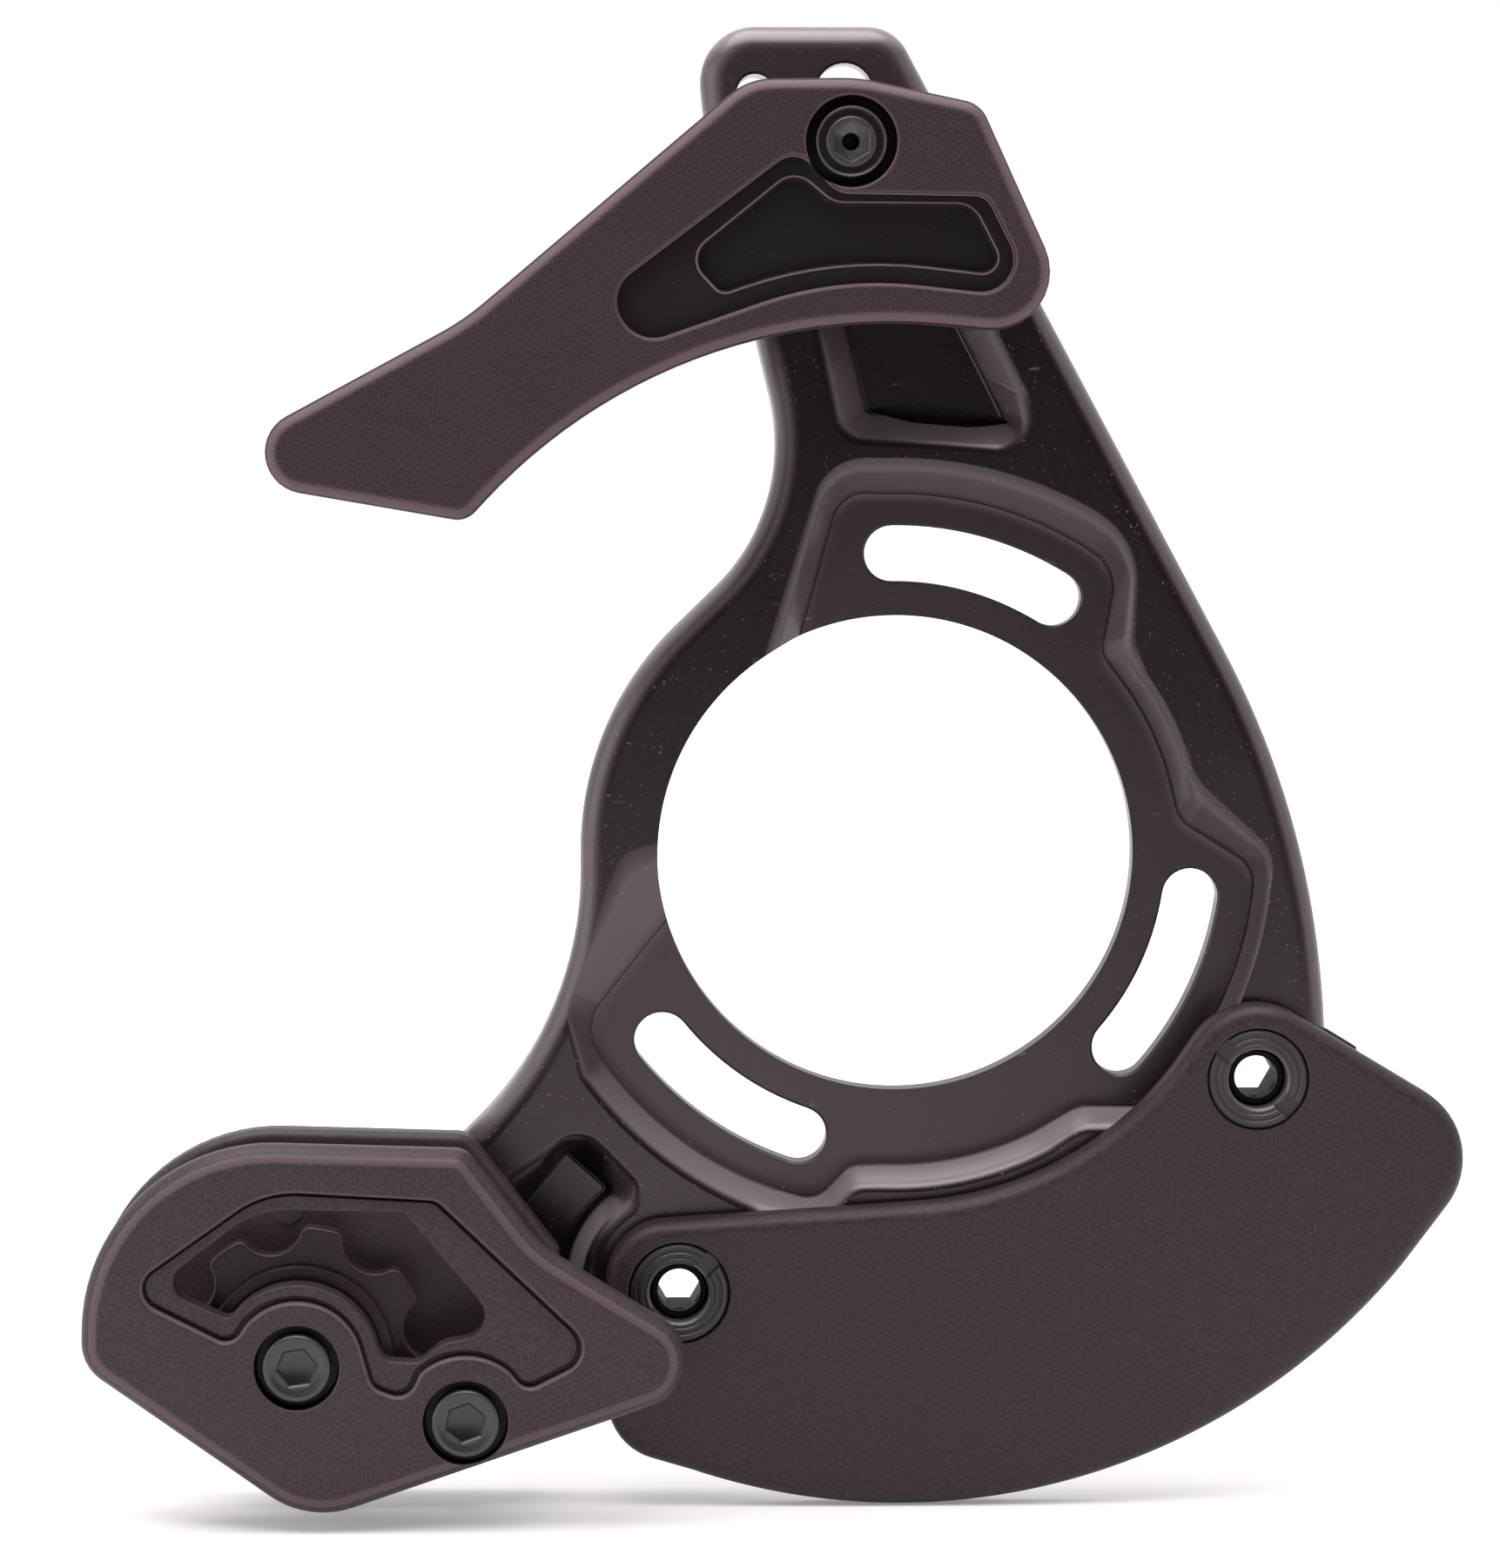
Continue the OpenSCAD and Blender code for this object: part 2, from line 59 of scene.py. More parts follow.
# Sizes, in millimetres, as on the drawing. Depths count forwards from the mounting face.
BORE_R = 29
PLATE_T, FLOOR_T, ARM_FLOOR_T, NECK_GROOVE_T = 7.5, 4, 3, 1.4
INNER_FACE, OUTER_FACE, CHAIN_LINE = 11.5, 21.5, 17.5
GUIDE_FRONT, CAGE_FRONT, BASH_FRONT = 26, 25.5, 12.1
PLATE_EDGE, GUIDE_EDGE, CAGE_EDGE, BASH_EDGE = 3.1, 1.8, 2.6, 2
AXLE, CAGE_BOLT, GUIDE_BOLT = (-71.9, -59), (-52, -65.7), (-6.5, 85)
LEFT_NUT, RIGHT_NUT = (-26.5, -52.7), (43.6, -26.9)
# Frame slots
SLOT_CIRCLE_R, SLOT_R, SLOT_SPAN = 36.5, 3.4, 32.4
SLOT_ANGLES = (74.5, -24.7, -125)
# Head slots, guide pegs and the beds in the plate's back
BOLT_SLOT_R, BOLT_SLOT_Z = 3.4, (76, 91.9)
PEG_SLOT_R, PEG_SLOT_Z, PEG_SLOT_X = 2.2, (76, 91.8), -17.2
PEG_R, PEG_Z = 2.1, (81, 86.5)
BED_T, T_NUT_BED_W, T_NUT_BED_Z = 2.2, 12.4, (74.5, 96)
T_NUT_W, T_NUT_H = 11.8, 10
# Sunk faces of the guides
GUIDE_POCKET_T, GUIDE_DEEP_POCKET_T, CAGE_SUNK_T = 1.8, 3.2, 0.8
# Screws, and how far in front of the mounting face their heads sit
SHANK_R, CLEAR_R, KEY_AF, CAP_BED = 2.45, 2.5, 4, 23.2
CAP_R, CAP_BED_R, CAP_TOP = 4, 5, 25.7
GUIDE_CAP_R, GUIDE_BED_R = 4.15, 5.3
# Chainring nuts and bolts
NUT_FLANGE_R, NUT_BARREL_R, NUT_BORE_R, NUT_FLANGE_BACK = 6, 4.9, 3.6, 10.2
NUT_HOLE_R, NUT_BED_R, BOLT_BED_R, KEY_SLOT_W = 5, 6.15, 6.2, 2.2
# Pulley wheel
TEETH, PITCH_R, ROOT_R, TIP_R, WHEEL_TURN = 8, 16.6, 12.75, 15.8, 10.5
WEB_T, HUB_R, BEARING_R = 3.2, 11.3, 9.5


def polar(centre, r, a):
    """Point at distance r from a centre, at an angle in degrees."""
    return centre[0] + r * math.cos(math.radians(a)), centre[1] + r * math.sin(math.radians(a))


def arc(centre, r, a0, a1, n):
    """Sharp corners along an arc, from one angle to the other in 3 n steps."""
    return [(*polar(centre, r, a0 + (a1 - a0) * i / (3 * n)), 0) for i in range(3 * n + 1)]


# Outlines, as corners (x, z, radius) or (x, z, radius, steps)
plate_outline = [
    (53.3, -36, 8.6), (51.5, 3.4, 107, 10), (-0.4, 99.8, 5.3), (-24.2, 99.8, 6.5), (-23.4, 89.3, 30, 2),
    (-12.1, 41.9, 24, 9), (-38.4, 16.4, 38.4, 9), (-38.4, -20, 43, 8), (-60, -41.6, 12, 3),
    (-80.5, -50.5, 7.5), (-80.5, -66.8, 7.5), (-60, -72, 5, 2), (-44, -67.2, 5, 2), (-35.5, -61.9, 5, 2),
    (-17.3, -61.9, 8.8), (-17.3, -46.3, 3)] + arc((0, 0), 48, 254, 312, 10)
lug_ledge = [(50, -20.4, 0), (52.6, -21.4, 0), (56.2, -23.6, 0), (56.2, -28, 0), (50, -28, 0)]
ring_floor = (
    arc((0, 0), 43.8, -39, -7, 5) + [(43.9, -1.9, 4), (34.6, 3.9, 4)]
    + arc((0, 0), 34.5, 12, 37, 4) + [(24.9, 24.4, 3.5), (26.8, 34.6, 5)]
    + arc((0, 0), 43.7, 59, 92, 5)
    + [(-6.7, 43.9, 4), (-14, 17.5, 0), (-20, 1.5, 0), (-30.5, -11.4, 0.5), (-38.1, -21, 5)]
    + arc((0, 0), 43.5, 215, 251, 6) + [(-9.8, -42.4, 3.2), (-5.7, -38.1, 3.2)]
    + arc((0, 0), 38, 267, 297, 5) + [(22.3, -30.9, 5), (31.2, -31, 3.5)])
ring_mouth = (
    arc((0, 0), 45.4, -39, -7, 5) + [(45.8, -0.3, 5), (36.9, 7.4, 5)]
    + arc((0, 0), 36.9, 15, 36, 4) + [(28.2, 25.2, 6), (28.9, 37.4, 9)]
    + arc((0, 0), 47.3, 60, 92, 5)
    + [(-8.3, 47.4, 6), (-17.4, 17.5, 0), (-24, 2, 0), (-32.6, -1.6, 3.5), (-40.4, -17.8, 6)]
    + arc((0, 0), 46.4, 215, 249, 6) + [(-9, -44.6, 4.5), (-4.9, -40.6, 3)]
    + arc((0, 0), 40.6, 267, 297, 5) + [(22.6, -33.4, 5), (33.4, -33.2, 4)])
neck_floor = [(-3.5, 53.8, 0.6), (13.1, 52.4, 0.6), (10.2, 58.2, 1), (4.9, 68.4, 2), (-6.9, 68.8, 2)]
neck_mouth = [(-6.8, 50.4, 3.5), (16.3, 48.9, 3.5), (15.3, 55.6, 3), (7.4, 71.4, 3), (-11.4, 71.4, 3)]
neck_groove = [(-3.6, 53.9, 0.1), (5, 51.2, 30), (14.1, 52.3, 0.1), (4, 55.8, 25)]
arm_floor = ([(-40.1, -36.9, 0.4), (-43.4, -40.9, 3), (-49, -47.5, 1.5), (-44, -55, 2)]
             + arc(LEFT_NUT, 14.5, 188, 131, 4) + [(-34.4, -41.9, 0.6)])
arm_mouth = ([(-38.9, -33.4, 3.2), (-42.8, -37, 5), (-53, -44.5, 2), (-46, -57.5, 2)]
             + arc(LEFT_NUT, 11.5, 188, 124, 4) + [(-31.4, -41, 2.4)])
guide_outline = [(21.1, 62, 6.8), (8.6, 89.4, 3.6), (-5.5, 92.4, 20, 3), (-18.5, 92.3, 8, 3),
                 (-51.7, 64.3, 30, 3), (-84.6, 46.5, 4.8, 7), (-51.5, 40.8, 2.8), (-27.3, 66.8, 65, 12)]
guide_pocket = [(15.6, 66.6, 4), (9.4, 78.9, 2.4), (-8, 79.2, 3.4), (-12.9, 84.5, 3), (-35.6, 67.4, 4.2),
                (-31.2, 61.2, 4.4), (-8.1, 69.2, 42, 4)]
guide_deep_pocket = [(12, 69.4, 1.8), (7.7, 77.8, 3.2), (-8.6, 77.9, 3.5), (-13.1, 81.7, 2.8),
                     (-25.6, 71.6, 2.6), (-21.6, 67.3, 1.6), (-8.6, 71.8, 48, 4)]
guide_roof = [(-66, 50, 0), (4, 84, 0), (12, 90, 0), (4, 100, 0), (-70, 100, 0)]
cage_outline = [(-18.3, -60.2, 5.7, 8), (-43, -44.9, 15, 3), (-51.9, -33.3, 2.8), (-97, -31.9, 22.5, 10),
                (-97.5, -59, 5.5), (-70.7, -78, 11, 5)]
cage_inner_outline = [(-41, -67.3, 3), (-41, -47.5, 1.5), (-51.9, -33.3, 2.8), (-97, -31.9, 22.5, 10),
                      (-97.5, -59, 5.5), (-70.7, -78, 11, 5)]
cage_sunk = (
    [(-36.1, -57.6, 3), (-55.3, -39.2, 2.4, 3), (-75.5, -38, 12, 4), (-92.4, -49.9, 2.6), (-79.6, -56.4, 2)]
    + arc(AXLE, 7.9, 140, 20, 8) + [(-63, -61.5, 2.2), (-58.9, -63, 2.2)]
    + arc(CAGE_BOLT, 8, 132, 48, 5) + [(-44.9, -62, 2)])
cage_window = (
    [(-47.3, -54.9, 2.8), (-59.2, -40.7, 1.4, 3), (-76.5, -40.2, 12, 4), (-88.4, -49.4, 2.2),
     (-79.9, -53.3, 1.2)]
    + arc(AXLE, 9.8, 132, 14, 8) + [(-61.6, -58.3, 1.4), (-57.6, -58.6, 2), (-54.8, -56.3, 3)])
bash_outline = ([(73.3, -34.2, 9.5, 8), (41, -14.8, 9, 7)] + arc((0, 0), 42.2, -37, -86, 9)
                + [(-35.4, -44.5, 7.5), (-35.2, -71.6, 7.5)] + arc((0.6, -0.4), 78.5, 251, 321, 22))


def unit(x, z):
    """The direction of (x, z), at length 1."""
    d = math.hypot(x, z)
    return x / d, z / d


def corner(a, b, c):
    """Points of corner b between a and c, rounded to its radius; a radius of 0 keeps it sharp."""
    if b[2] == 0:
        return [b[:2]]
    d, e = unit(b[0] - a[0], b[1] - a[1]), unit(c[0] - b[0], c[1] - b[1])
    turn = math.atan2(d[0] * e[1] - d[1] * e[0], d[0] * e[0] + d[1] * e[1])
    r, side, n = b[2], math.copysign(1, turn), 2 * (b[3] if len(b) > 3 else 5)
    back = r * math.tan(abs(turn) / 2)
    start = b[0] - d[0] * back, b[1] - d[1] * back
    mx, mz = start[0] - d[1] * r * side, start[1] + d[0] * r * side
    a0 = math.atan2(start[1] - mz, start[0] - mx)
    return [(mx + r * math.cos(a0 + turn * i / n), mz + r * math.sin(a0 + turn * i / n))
            for i in range(n + 1)]


def rounded(path):
    """The points of a path, with every corner rounded."""
    n = len(path)
    return [p for i in range(n) for p in corner(path[i - 1], path[i], path[(i + 1) % n])]


def inset(path, d):
    """The same corners with every edge moved inwards by d."""
    made, n = [], len(path)
    for i in range(n):
        a, b, c = path[i - 1], path[i], path[(i + 1) % n]
        d0, d1 = unit(b[0] - a[0], b[1] - a[1]), unit(c[0] - b[0], c[1] - b[1])
        u, v = (-d0[1], d0[0]), (-d1[1], d1[0])
        k = d / (1 + u[0] * v[0] + u[1] * v[1])
        bend = -1 if u[0] * v[1] - u[1] * v[0] > 0 else 1
        r = 0 if b[2] == 0 else max(b[2] + bend * d, 0.02)
        made.append((b[0] + k * (u[0] + v[0]), b[1] + k * (u[1] + v[1]), r, *b[3:]))
    return made


def between(path, other, t):
    """The corners a share t of the way from one path to another."""
    return [(p[0] + (q[0] - p[0]) * t, p[1] + (q[1] - p[1]) * t, max(p[2] + (q[2] - p[2]) * t, 0), *p[3:])
            for p, q in zip(path, other)]


# Modelling
def only(piece):
    """Makes a piece the only one that is selected, and active."""
    bpy.ops.object.select_all(action="DESELECT")
    piece.select_set(True)
    bpy.context.view_layer.objects.active = piece


def in_edit(piece, *steps):
    """Runs the steps in edit mode."""
    only(piece)
    bpy.ops.object.mode_set(mode="EDIT")
    bpy.ops.mesh.select_mode(type="VERT")
    for step in steps:
        step()
    bpy.ops.object.mode_set(mode="OBJECT")


def loft(name, rings):
    """Closed solid through rings of (depth in front of the mounting face, points), back ring first."""
    n = len(rings[0][1])
    bpy.ops.object.select_all(action="DESELECT")
    bpy.ops.mesh.primitive_circle_add(vertices=n, radius=1, fill_type="NGON")
    piece = bpy.context.object
    piece.name = piece.data.name = name

    def extrude():
        bpy.ops.mesh.extrude_region_move(TRANSFORM_OT_translate={"value": (0, 0, 1)})
    in_edit(piece, *[extrude] * (len(rings) - 1))
    place = [MM * v for depth, points in rings for x, z in points for v in (x, -depth, z)]
    piece.data.vertices.foreach_set("co", place)
    piece.data.update()
    in_edit(piece, lambda: bpy.ops.mesh.select_all(action="SELECT"),
            lambda: bpy.ops.mesh.remove_doubles(threshold=2e-6),
            lambda: bpy.ops.mesh.normals_make_consistent(inside=False))
    return piece


def combine(piece, operation, *tools):
    for tool in tools:
        only(piece)
        boolean = piece.modifiers.new("cut", "BOOLEAN")
        boolean.operation, boolean.solver, boolean.object = operation, "EXACT", tool
        bpy.ops.object.modifier_apply(modifier=boolean.name)
        bpy.data.objects.remove(tool)
    return piece


def cut(piece, *tools):
    return combine(piece, "DIFFERENCE", *tools)


def add(piece, *tools):
    return combine(piece, "UNION", *tools)


def slab(name, path, back, front):
    """Solid with upright walls."""
    return loft(name, [(depth, rounded(path)) for depth in (back, front)])


def quarter(r, n):
    """Sideways and upward parts of a quarter round, from the wall's foot to its top."""
    return [(r * (1 - math.cos(math.pi / 2 * i / n)), r * (1 - math.sin(math.pi / 2 * i / n)))
            for i in range(n + 1)]


def edged_plate(name, path, back, front, edge, back_edge=0.5, steps=8):
    """Plate with a rounded front edge and a lightly rounded back edge."""
    low = [(back + side, rounded(inset(path, up))) for side, up in quarter(back_edge, 3)]
    high = [(front - up, rounded(inset(path, side))) for side, up in quarter(edge, steps)]
    return loft(name, low + high)


def pocket(path, floor, front, lip=0.4, foot=0.35, over=1):
    """Cutter with upright walls, a filleted foot and a rounded lip."""
    proud, steps = 0.012, 4
    low = [(floor + side, rounded(inset(path, up))) for side, up in quarter(foot, 3)]
    high = [(front - up + proud * k / steps, rounded(inset(path, -side)))
            for k, (side, up) in enumerate(quarter(lip, steps))]
    return loft("pocket", low + high + [(front + over, rounded(inset(path, -lip)))])


def sloped(floor_path, mouth_path, floor, mouth, soft=0.2, foot=0.3, lift=0.1, line=0.08):
    """Cutter whose walls slope from a floor path to a mouth path.

    The floor rises by lift over its last foot millimetres, a fine tool line runs along the wall's foot,
    and the wall is soft at the mouth."""
    def bend(p0, p1, p2, n):
        return [tuple((1 - s) ** 2 * a + 2 * s * (1 - s) * b + s * s * c for a, b, c in zip(p0, p1, p2))
                for s in (i / n for i in range(n + 1))]
    line_w, proud = 0.18, 0.015
    low = bend((foot, floor), (0.35 * foot, floor), (0, floor + lift), 4)
    low += [(-0.05, floor + lift - line), (-0.12, floor + lift - line), (-line_w, floor + lift)]
    rings = [(depth, rounded(inset(floor_path, d))) for d, depth in low]
    start, rise = inset(floor_path, -line_w), mouth - floor - lift
    for t, depth in bend((1 - soft, mouth - soft * rise), (1, mouth), (1 + soft, mouth + proud), 6):
        rings.append((depth, rounded(between(start, mouth_path, t))))
    return loft("slope", rings + [(mouth + 1.5, rings[-1][1])])


def circle(p, r, n):
    return [(p[0] + r * math.cos(2 * math.pi * i / n), p[1] + r * math.sin(2 * math.pi * i / n))
            for i in range(n)]


def turned(name, p, profile, sides=64):
    """Round solid about an axis through p along Y, from (radius, depth) pairs."""
    return loft(name, [(depth, circle(p, r, sides)) for r, depth in profile])


def bore(p, r, back, front, rim=0.25):
    """Cutter for a through hole with a chamfer at each end."""
    return turned("bore", p, [(r + rim, back - 1), (r + rim, back), (r, back + rim), (r, front - rim),
                              (r + rim, front), (r + rim, front + 3)])


def hexagon(p, across, turn=0):
    return [polar(p, across / math.sqrt(3), 60 * i + turn) for i in range(6)]


def key_socket(p, across, back, front, turn):
    """Cutter for a hexagonal socket with a sloping floor edge and a chamfered mouth."""
    wide = across + 0.5
    steps = [(back, across * 0.5), (back + 0.35, across), (front - 0.25, across), (front + 0.01, wide),
             (front + 1, wide)]
    return loft("socket", [(depth, hexagon(p, w, turn)) for depth, w in steps])


def slot_cutter(points_at, back, front):
    """Cutter for a slot whose outline grows by a given amount, with both rims chamfered."""
    rim = 0.3
    steps = [(-1, rim), (0, rim), (rim, 0)]
    low = [(back + d, points_at(g)) for d, g in steps]
    high = [(front - d, points_at(g)) for d, g in reversed(steps[1:])]
    return loft("slot", low + high + [(front + 6, points_at(rim))])


def frame_slot(angle):
    """Cutter for a curved slot round the bottom bracket hole."""
    a0, a1 = angle - SLOT_SPAN / 2, angle + SLOT_SPAN / 2
    start, end = polar((0, 0), SLOT_CIRCLE_R, a0), polar((0, 0), SLOT_CIRCLE_R, a1)

    def points_at(grow):
        r = SLOT_R + grow
        outer = arc((0, 0), SLOT_CIRCLE_R + r, a0 + 2, a1 - 2, 4)
        inner = arc((0, 0), SLOT_CIRCLE_R - r, a1 - 2, a0 + 2, 4)
        return rounded(arc(start, r, a0 + 180, a0 + 360, 5) + outer + arc(end, r, a1, a1 + 180, 5) + inner)
    return slot_cutter(points_at, 0, FLOOR_T)


def head_slot(x, low, high, r):
    """Cutter for an upright slot through the plate's head."""
    def points_at(grow):
        return rounded(arc((x, low), r + grow, 180, 360, 5) + arc((x, high), r + grow, 0, 180, 5))
    return slot_cutter(points_at, 0, PLATE_T)


def rectangle(x0, x1, z0, z1, r):
    return [(x1, z0, r), (x1, z1, r), (x0, z1, r), (x0, z0, r)]


def bevel_rims(piece, chosen, width, segments=2):
    """Bevels the edges that the test picks by their two ends, in millimetres."""
    only(piece)
    mesh = piece.data
    bpy.ops.object.mode_set(mode="EDIT")
    bpy.ops.mesh.select_mode(type="EDGE")
    bpy.ops.mesh.select_all(action="DESELECT")
    bpy.ops.object.mode_set(mode="OBJECT")
    for e in mesh.edges:
        a, b = (mesh.vertices[i].co / MM for i in e.vertices)
        e.select = bool(chosen(a, b))
    bpy.ops.object.mode_set(mode="EDIT")
    bpy.ops.mesh.bevel(offset=width * MM, segments=segments, affect="EDGES", clamp_overlap=True)
    bpy.ops.object.mode_set(mode="OBJECT")


def finished(piece, node, finish, angle=32):
    """Smooths a piece, gives it its finish and sets it in place of its CAD node."""
    only(piece)
    bpy.ops.object.shade_smooth_by_angle(angle=math.radians(angle))
    even = piece.modifiers.new("even", "WEIGHTED_NORMAL")
    even.keep_sharp = True
    even.weight = 80
    bpy.ops.object.modifier_apply(modifier=even.name)
    piece.data.materials.clear()
    piece.data.materials.append(finish)
    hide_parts(node)
    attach(piece, CAD[node]["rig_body"])


# Finishes
class Socket:
    """One node output, with arithmetic that adds Math nodes."""

    def __init__(self, nodes, out):
        self.nodes, self.out = nodes, out

    def math(self, operation, *rest):
        return self.nodes.add("ShaderNodeMath", {"operation": operation}, dict(enumerate((self, *rest))))

    def __add__(self, other):
        return self.math("ADD", other)

    def __sub__(self, other):
        return self.math("SUBTRACT", other)

    def __rsub__(self, other):
        return self.nodes.add("ShaderNodeMath", {"operation": "SUBTRACT"}, {0: other, 1: self})

    def __mul__(self, other):
        return self.math("MULTIPLY", other)

    __radd__, __rmul__ = __add__, __mul__

    def step(self, low, high):
        """0 below low, 1 above high, smooth in between."""
        return self.nodes.add("ShaderNodeMapRange", {"interpolation_type": "SMOOTHSTEP"},
                              {"Value": self, "From Min": low, "From Max": high})

    def band(self, low, high, soft):
        """1 between low and high, 0 outside."""
        return self.step(low - soft, low) * (1 - self.step(high, high + soft))


class Nodes:
    """A node tree that is built up node by node."""

    def __init__(self, tree):
        self.tree = tree

    def add(self, kind, settings, values, output=0):
        node = self.tree.nodes.new(kind)
        for name, value in settings.items():
            setattr(node, name, value)
        for name, value in values.items():
            if isinstance(value, Socket):
                self.tree.links.new(value.out, node.inputs[name])
            else:
                node.inputs[name].default_value = value
        return None if output is None else Socket(self, node.outputs[output])


class Finish(Nodes):
    """A material on the Principled shader."""

    def __init__(self, name, metallic=0.0, specular=0.5):
        self.material = bpy.data.materials.new(name)
        self.material.use_nodes = True
        super().__init__(self.material.node_tree)
        self.shader = self.tree.nodes["Principled BSDF"]
        self.shader.inputs["Metallic"].default_value = metallic
        self.shader.inputs["Specular IOR Level"].default_value = specular
        self.place = self.add("ShaderNodeTexCoord", {}, {}, "Object")

    def noise(self, size, detail=2, rough=0.5, stretch=(1, 1, 1)):
        """Noise with features about size millimetres across, from 0 to 1."""
        place = self.place if stretch == (1, 1, 1) else self.about((0, 0), stretch)
        return self.add("ShaderNodeTexNoise", {}, {
            "Vector": place, "Scale": 1 / (size * MM), "Detail": detail, "Roughness": rough})

    def axis(self, name):
        """X, Y or Z in millimetres."""
        return self.add("ShaderNodeSeparateXYZ", {}, {"Vector": self.place}, name) * (1 / MM)

    def mix(self, factor, dark, light):
        return self.add("ShaderNodeMix", {"data_type": "RGBA"}, {0: factor, 6: dark, 7: light}, 2)

    def about(self, p, stretch):
        """Object coordinates centred on a point of the part."""
        return self.add("ShaderNodeMapping", {}, {
            "Vector": self.place, "Location": [-p[0] * MM * stretch[0], 0, -p[1] * MM * stretch[2]],
            "Scale": list(stretch)})

    def radius(self, p):
        """Distance from the axis along Y through p, in millimetres."""
        flat = self.about(p, (1, 0, 1))
        return self.add("ShaderNodeVectorMath", {"operation": "LENGTH"}, {0: flat}, "Value") * (1 / MM)

    def dust(self, size=0.5):
        """A few pale specks."""
        return self.noise(size, 1).step(0.7, 0.78)

    def done(self, colour, rough, height, strength, distance):
        """Links what varies over the surface to the shader."""
        self.tree.links.new(colour.out, self.shader.inputs["Base Color"])
        self.tree.links.new(rough.out, self.shader.inputs["Roughness"])
        bump = self.add("ShaderNodeBump", {}, {
            "Strength": strength, "Distance": distance * MM, "Height": height})
        self.tree.links.new(bump.out, self.shader.inputs["Normal"])
        return self.material


def srgb(text, scale=1.0):
    """Colour from the six digits that a picture would show it by, made lighter by scale."""
    def linear(c):
        return c / 12.92 if c <= 0.04045 else ((c + 0.055) / 1.055) ** 2.4
    return [min(1, scale * linear(int(text[i:i + 2], 16) / 255)) for i in (0, 2, 4)] + [1]


def moulded_plastic(name, dark, light, grain=0.35, rough=0.5, bump=0.25, sunk=None, shaded_beds=(),
                    edge_highlights=(), lined_ring_highlight=None):
    """Moulded plastic: speckled grain, clouds of tone.

    sunk = (depth, depth, colour) paints pocket floors a plain darker colour, which is painted shade, with
    dust on it, edge_highlights = [(depth, depth, soft, amount)] are painted highlights along edges, by depth,
    shaded_beds = [(centre, r)] are round holes painted black, which is painted shade,
    lined_ring_highlight = (centre, r, r) is a ring of painted highlight with fine lines in it."""
    f = Finish(name, specular=0.25)
    fine = f.noise(grain, 3, 0.6)
    speck = f.noise(grain * 0.45, 1).step(0.58, 0.75)
    cloud = f.noise(18)
    tone = f.mix(fine.step(0.34, 0.66) * 0.8 + cloud * 0.25, srgb(dark), srgb(light))
    tone = f.mix(speck * 0.4, tone, srgb(light, 1.9))
    height = fine + speck * 0.6
    roughness = fine * 0.12 + cloud * 0.06 + (rough - 0.09)
    # Pocket floors get a plain darker colour as painted shade, with dust on it.
    if sunk:
        outside = (f.axis("Y") * -1).step(sunk[0], sunk[1])
        floor = f.mix(cloud.step(0.35, 0.7), srgb(sunk[2]), srgb(sunk[2], 1.5))
        floor = f.mix(f.dust() * 0.35, floor, srgb(light))
        tone = f.mix(outside, floor, tone)
        roughness = roughness + (1 - outside) * 0.12
        height = height * (outside * 0.75 + 0.25)
    # Painted highlights: lighter bands along the edges at the given depths.
    for low, high, soft, amount in edge_highlights:
        tone = f.mix((f.axis("Y") * -1).band(low, high, soft) * amount, tone, srgb(light, 3.2))
    # Painted shade: the screw beds round the screw heads are painted black.
    for centre, r in shaded_beds:
        tone = f.mix(1 - f.radius(centre).step(r, r + 0.1), tone, srgb("080607"))
    # Painted highlight: a lighter ring with fine lines in it.
    if lined_ring_highlight:
        centre, r0, r1 = lined_ring_highlight
        r = f.radius(centre)
        lines = (r * 12).math("SINE").step(0.2, 0.9)
        tone = f.mix(r.band(r0, r1, 0.1) * lines * 0.25, tone, srgb(light, 2))
    return f.done(tone, roughness, height, bump, 0.03)


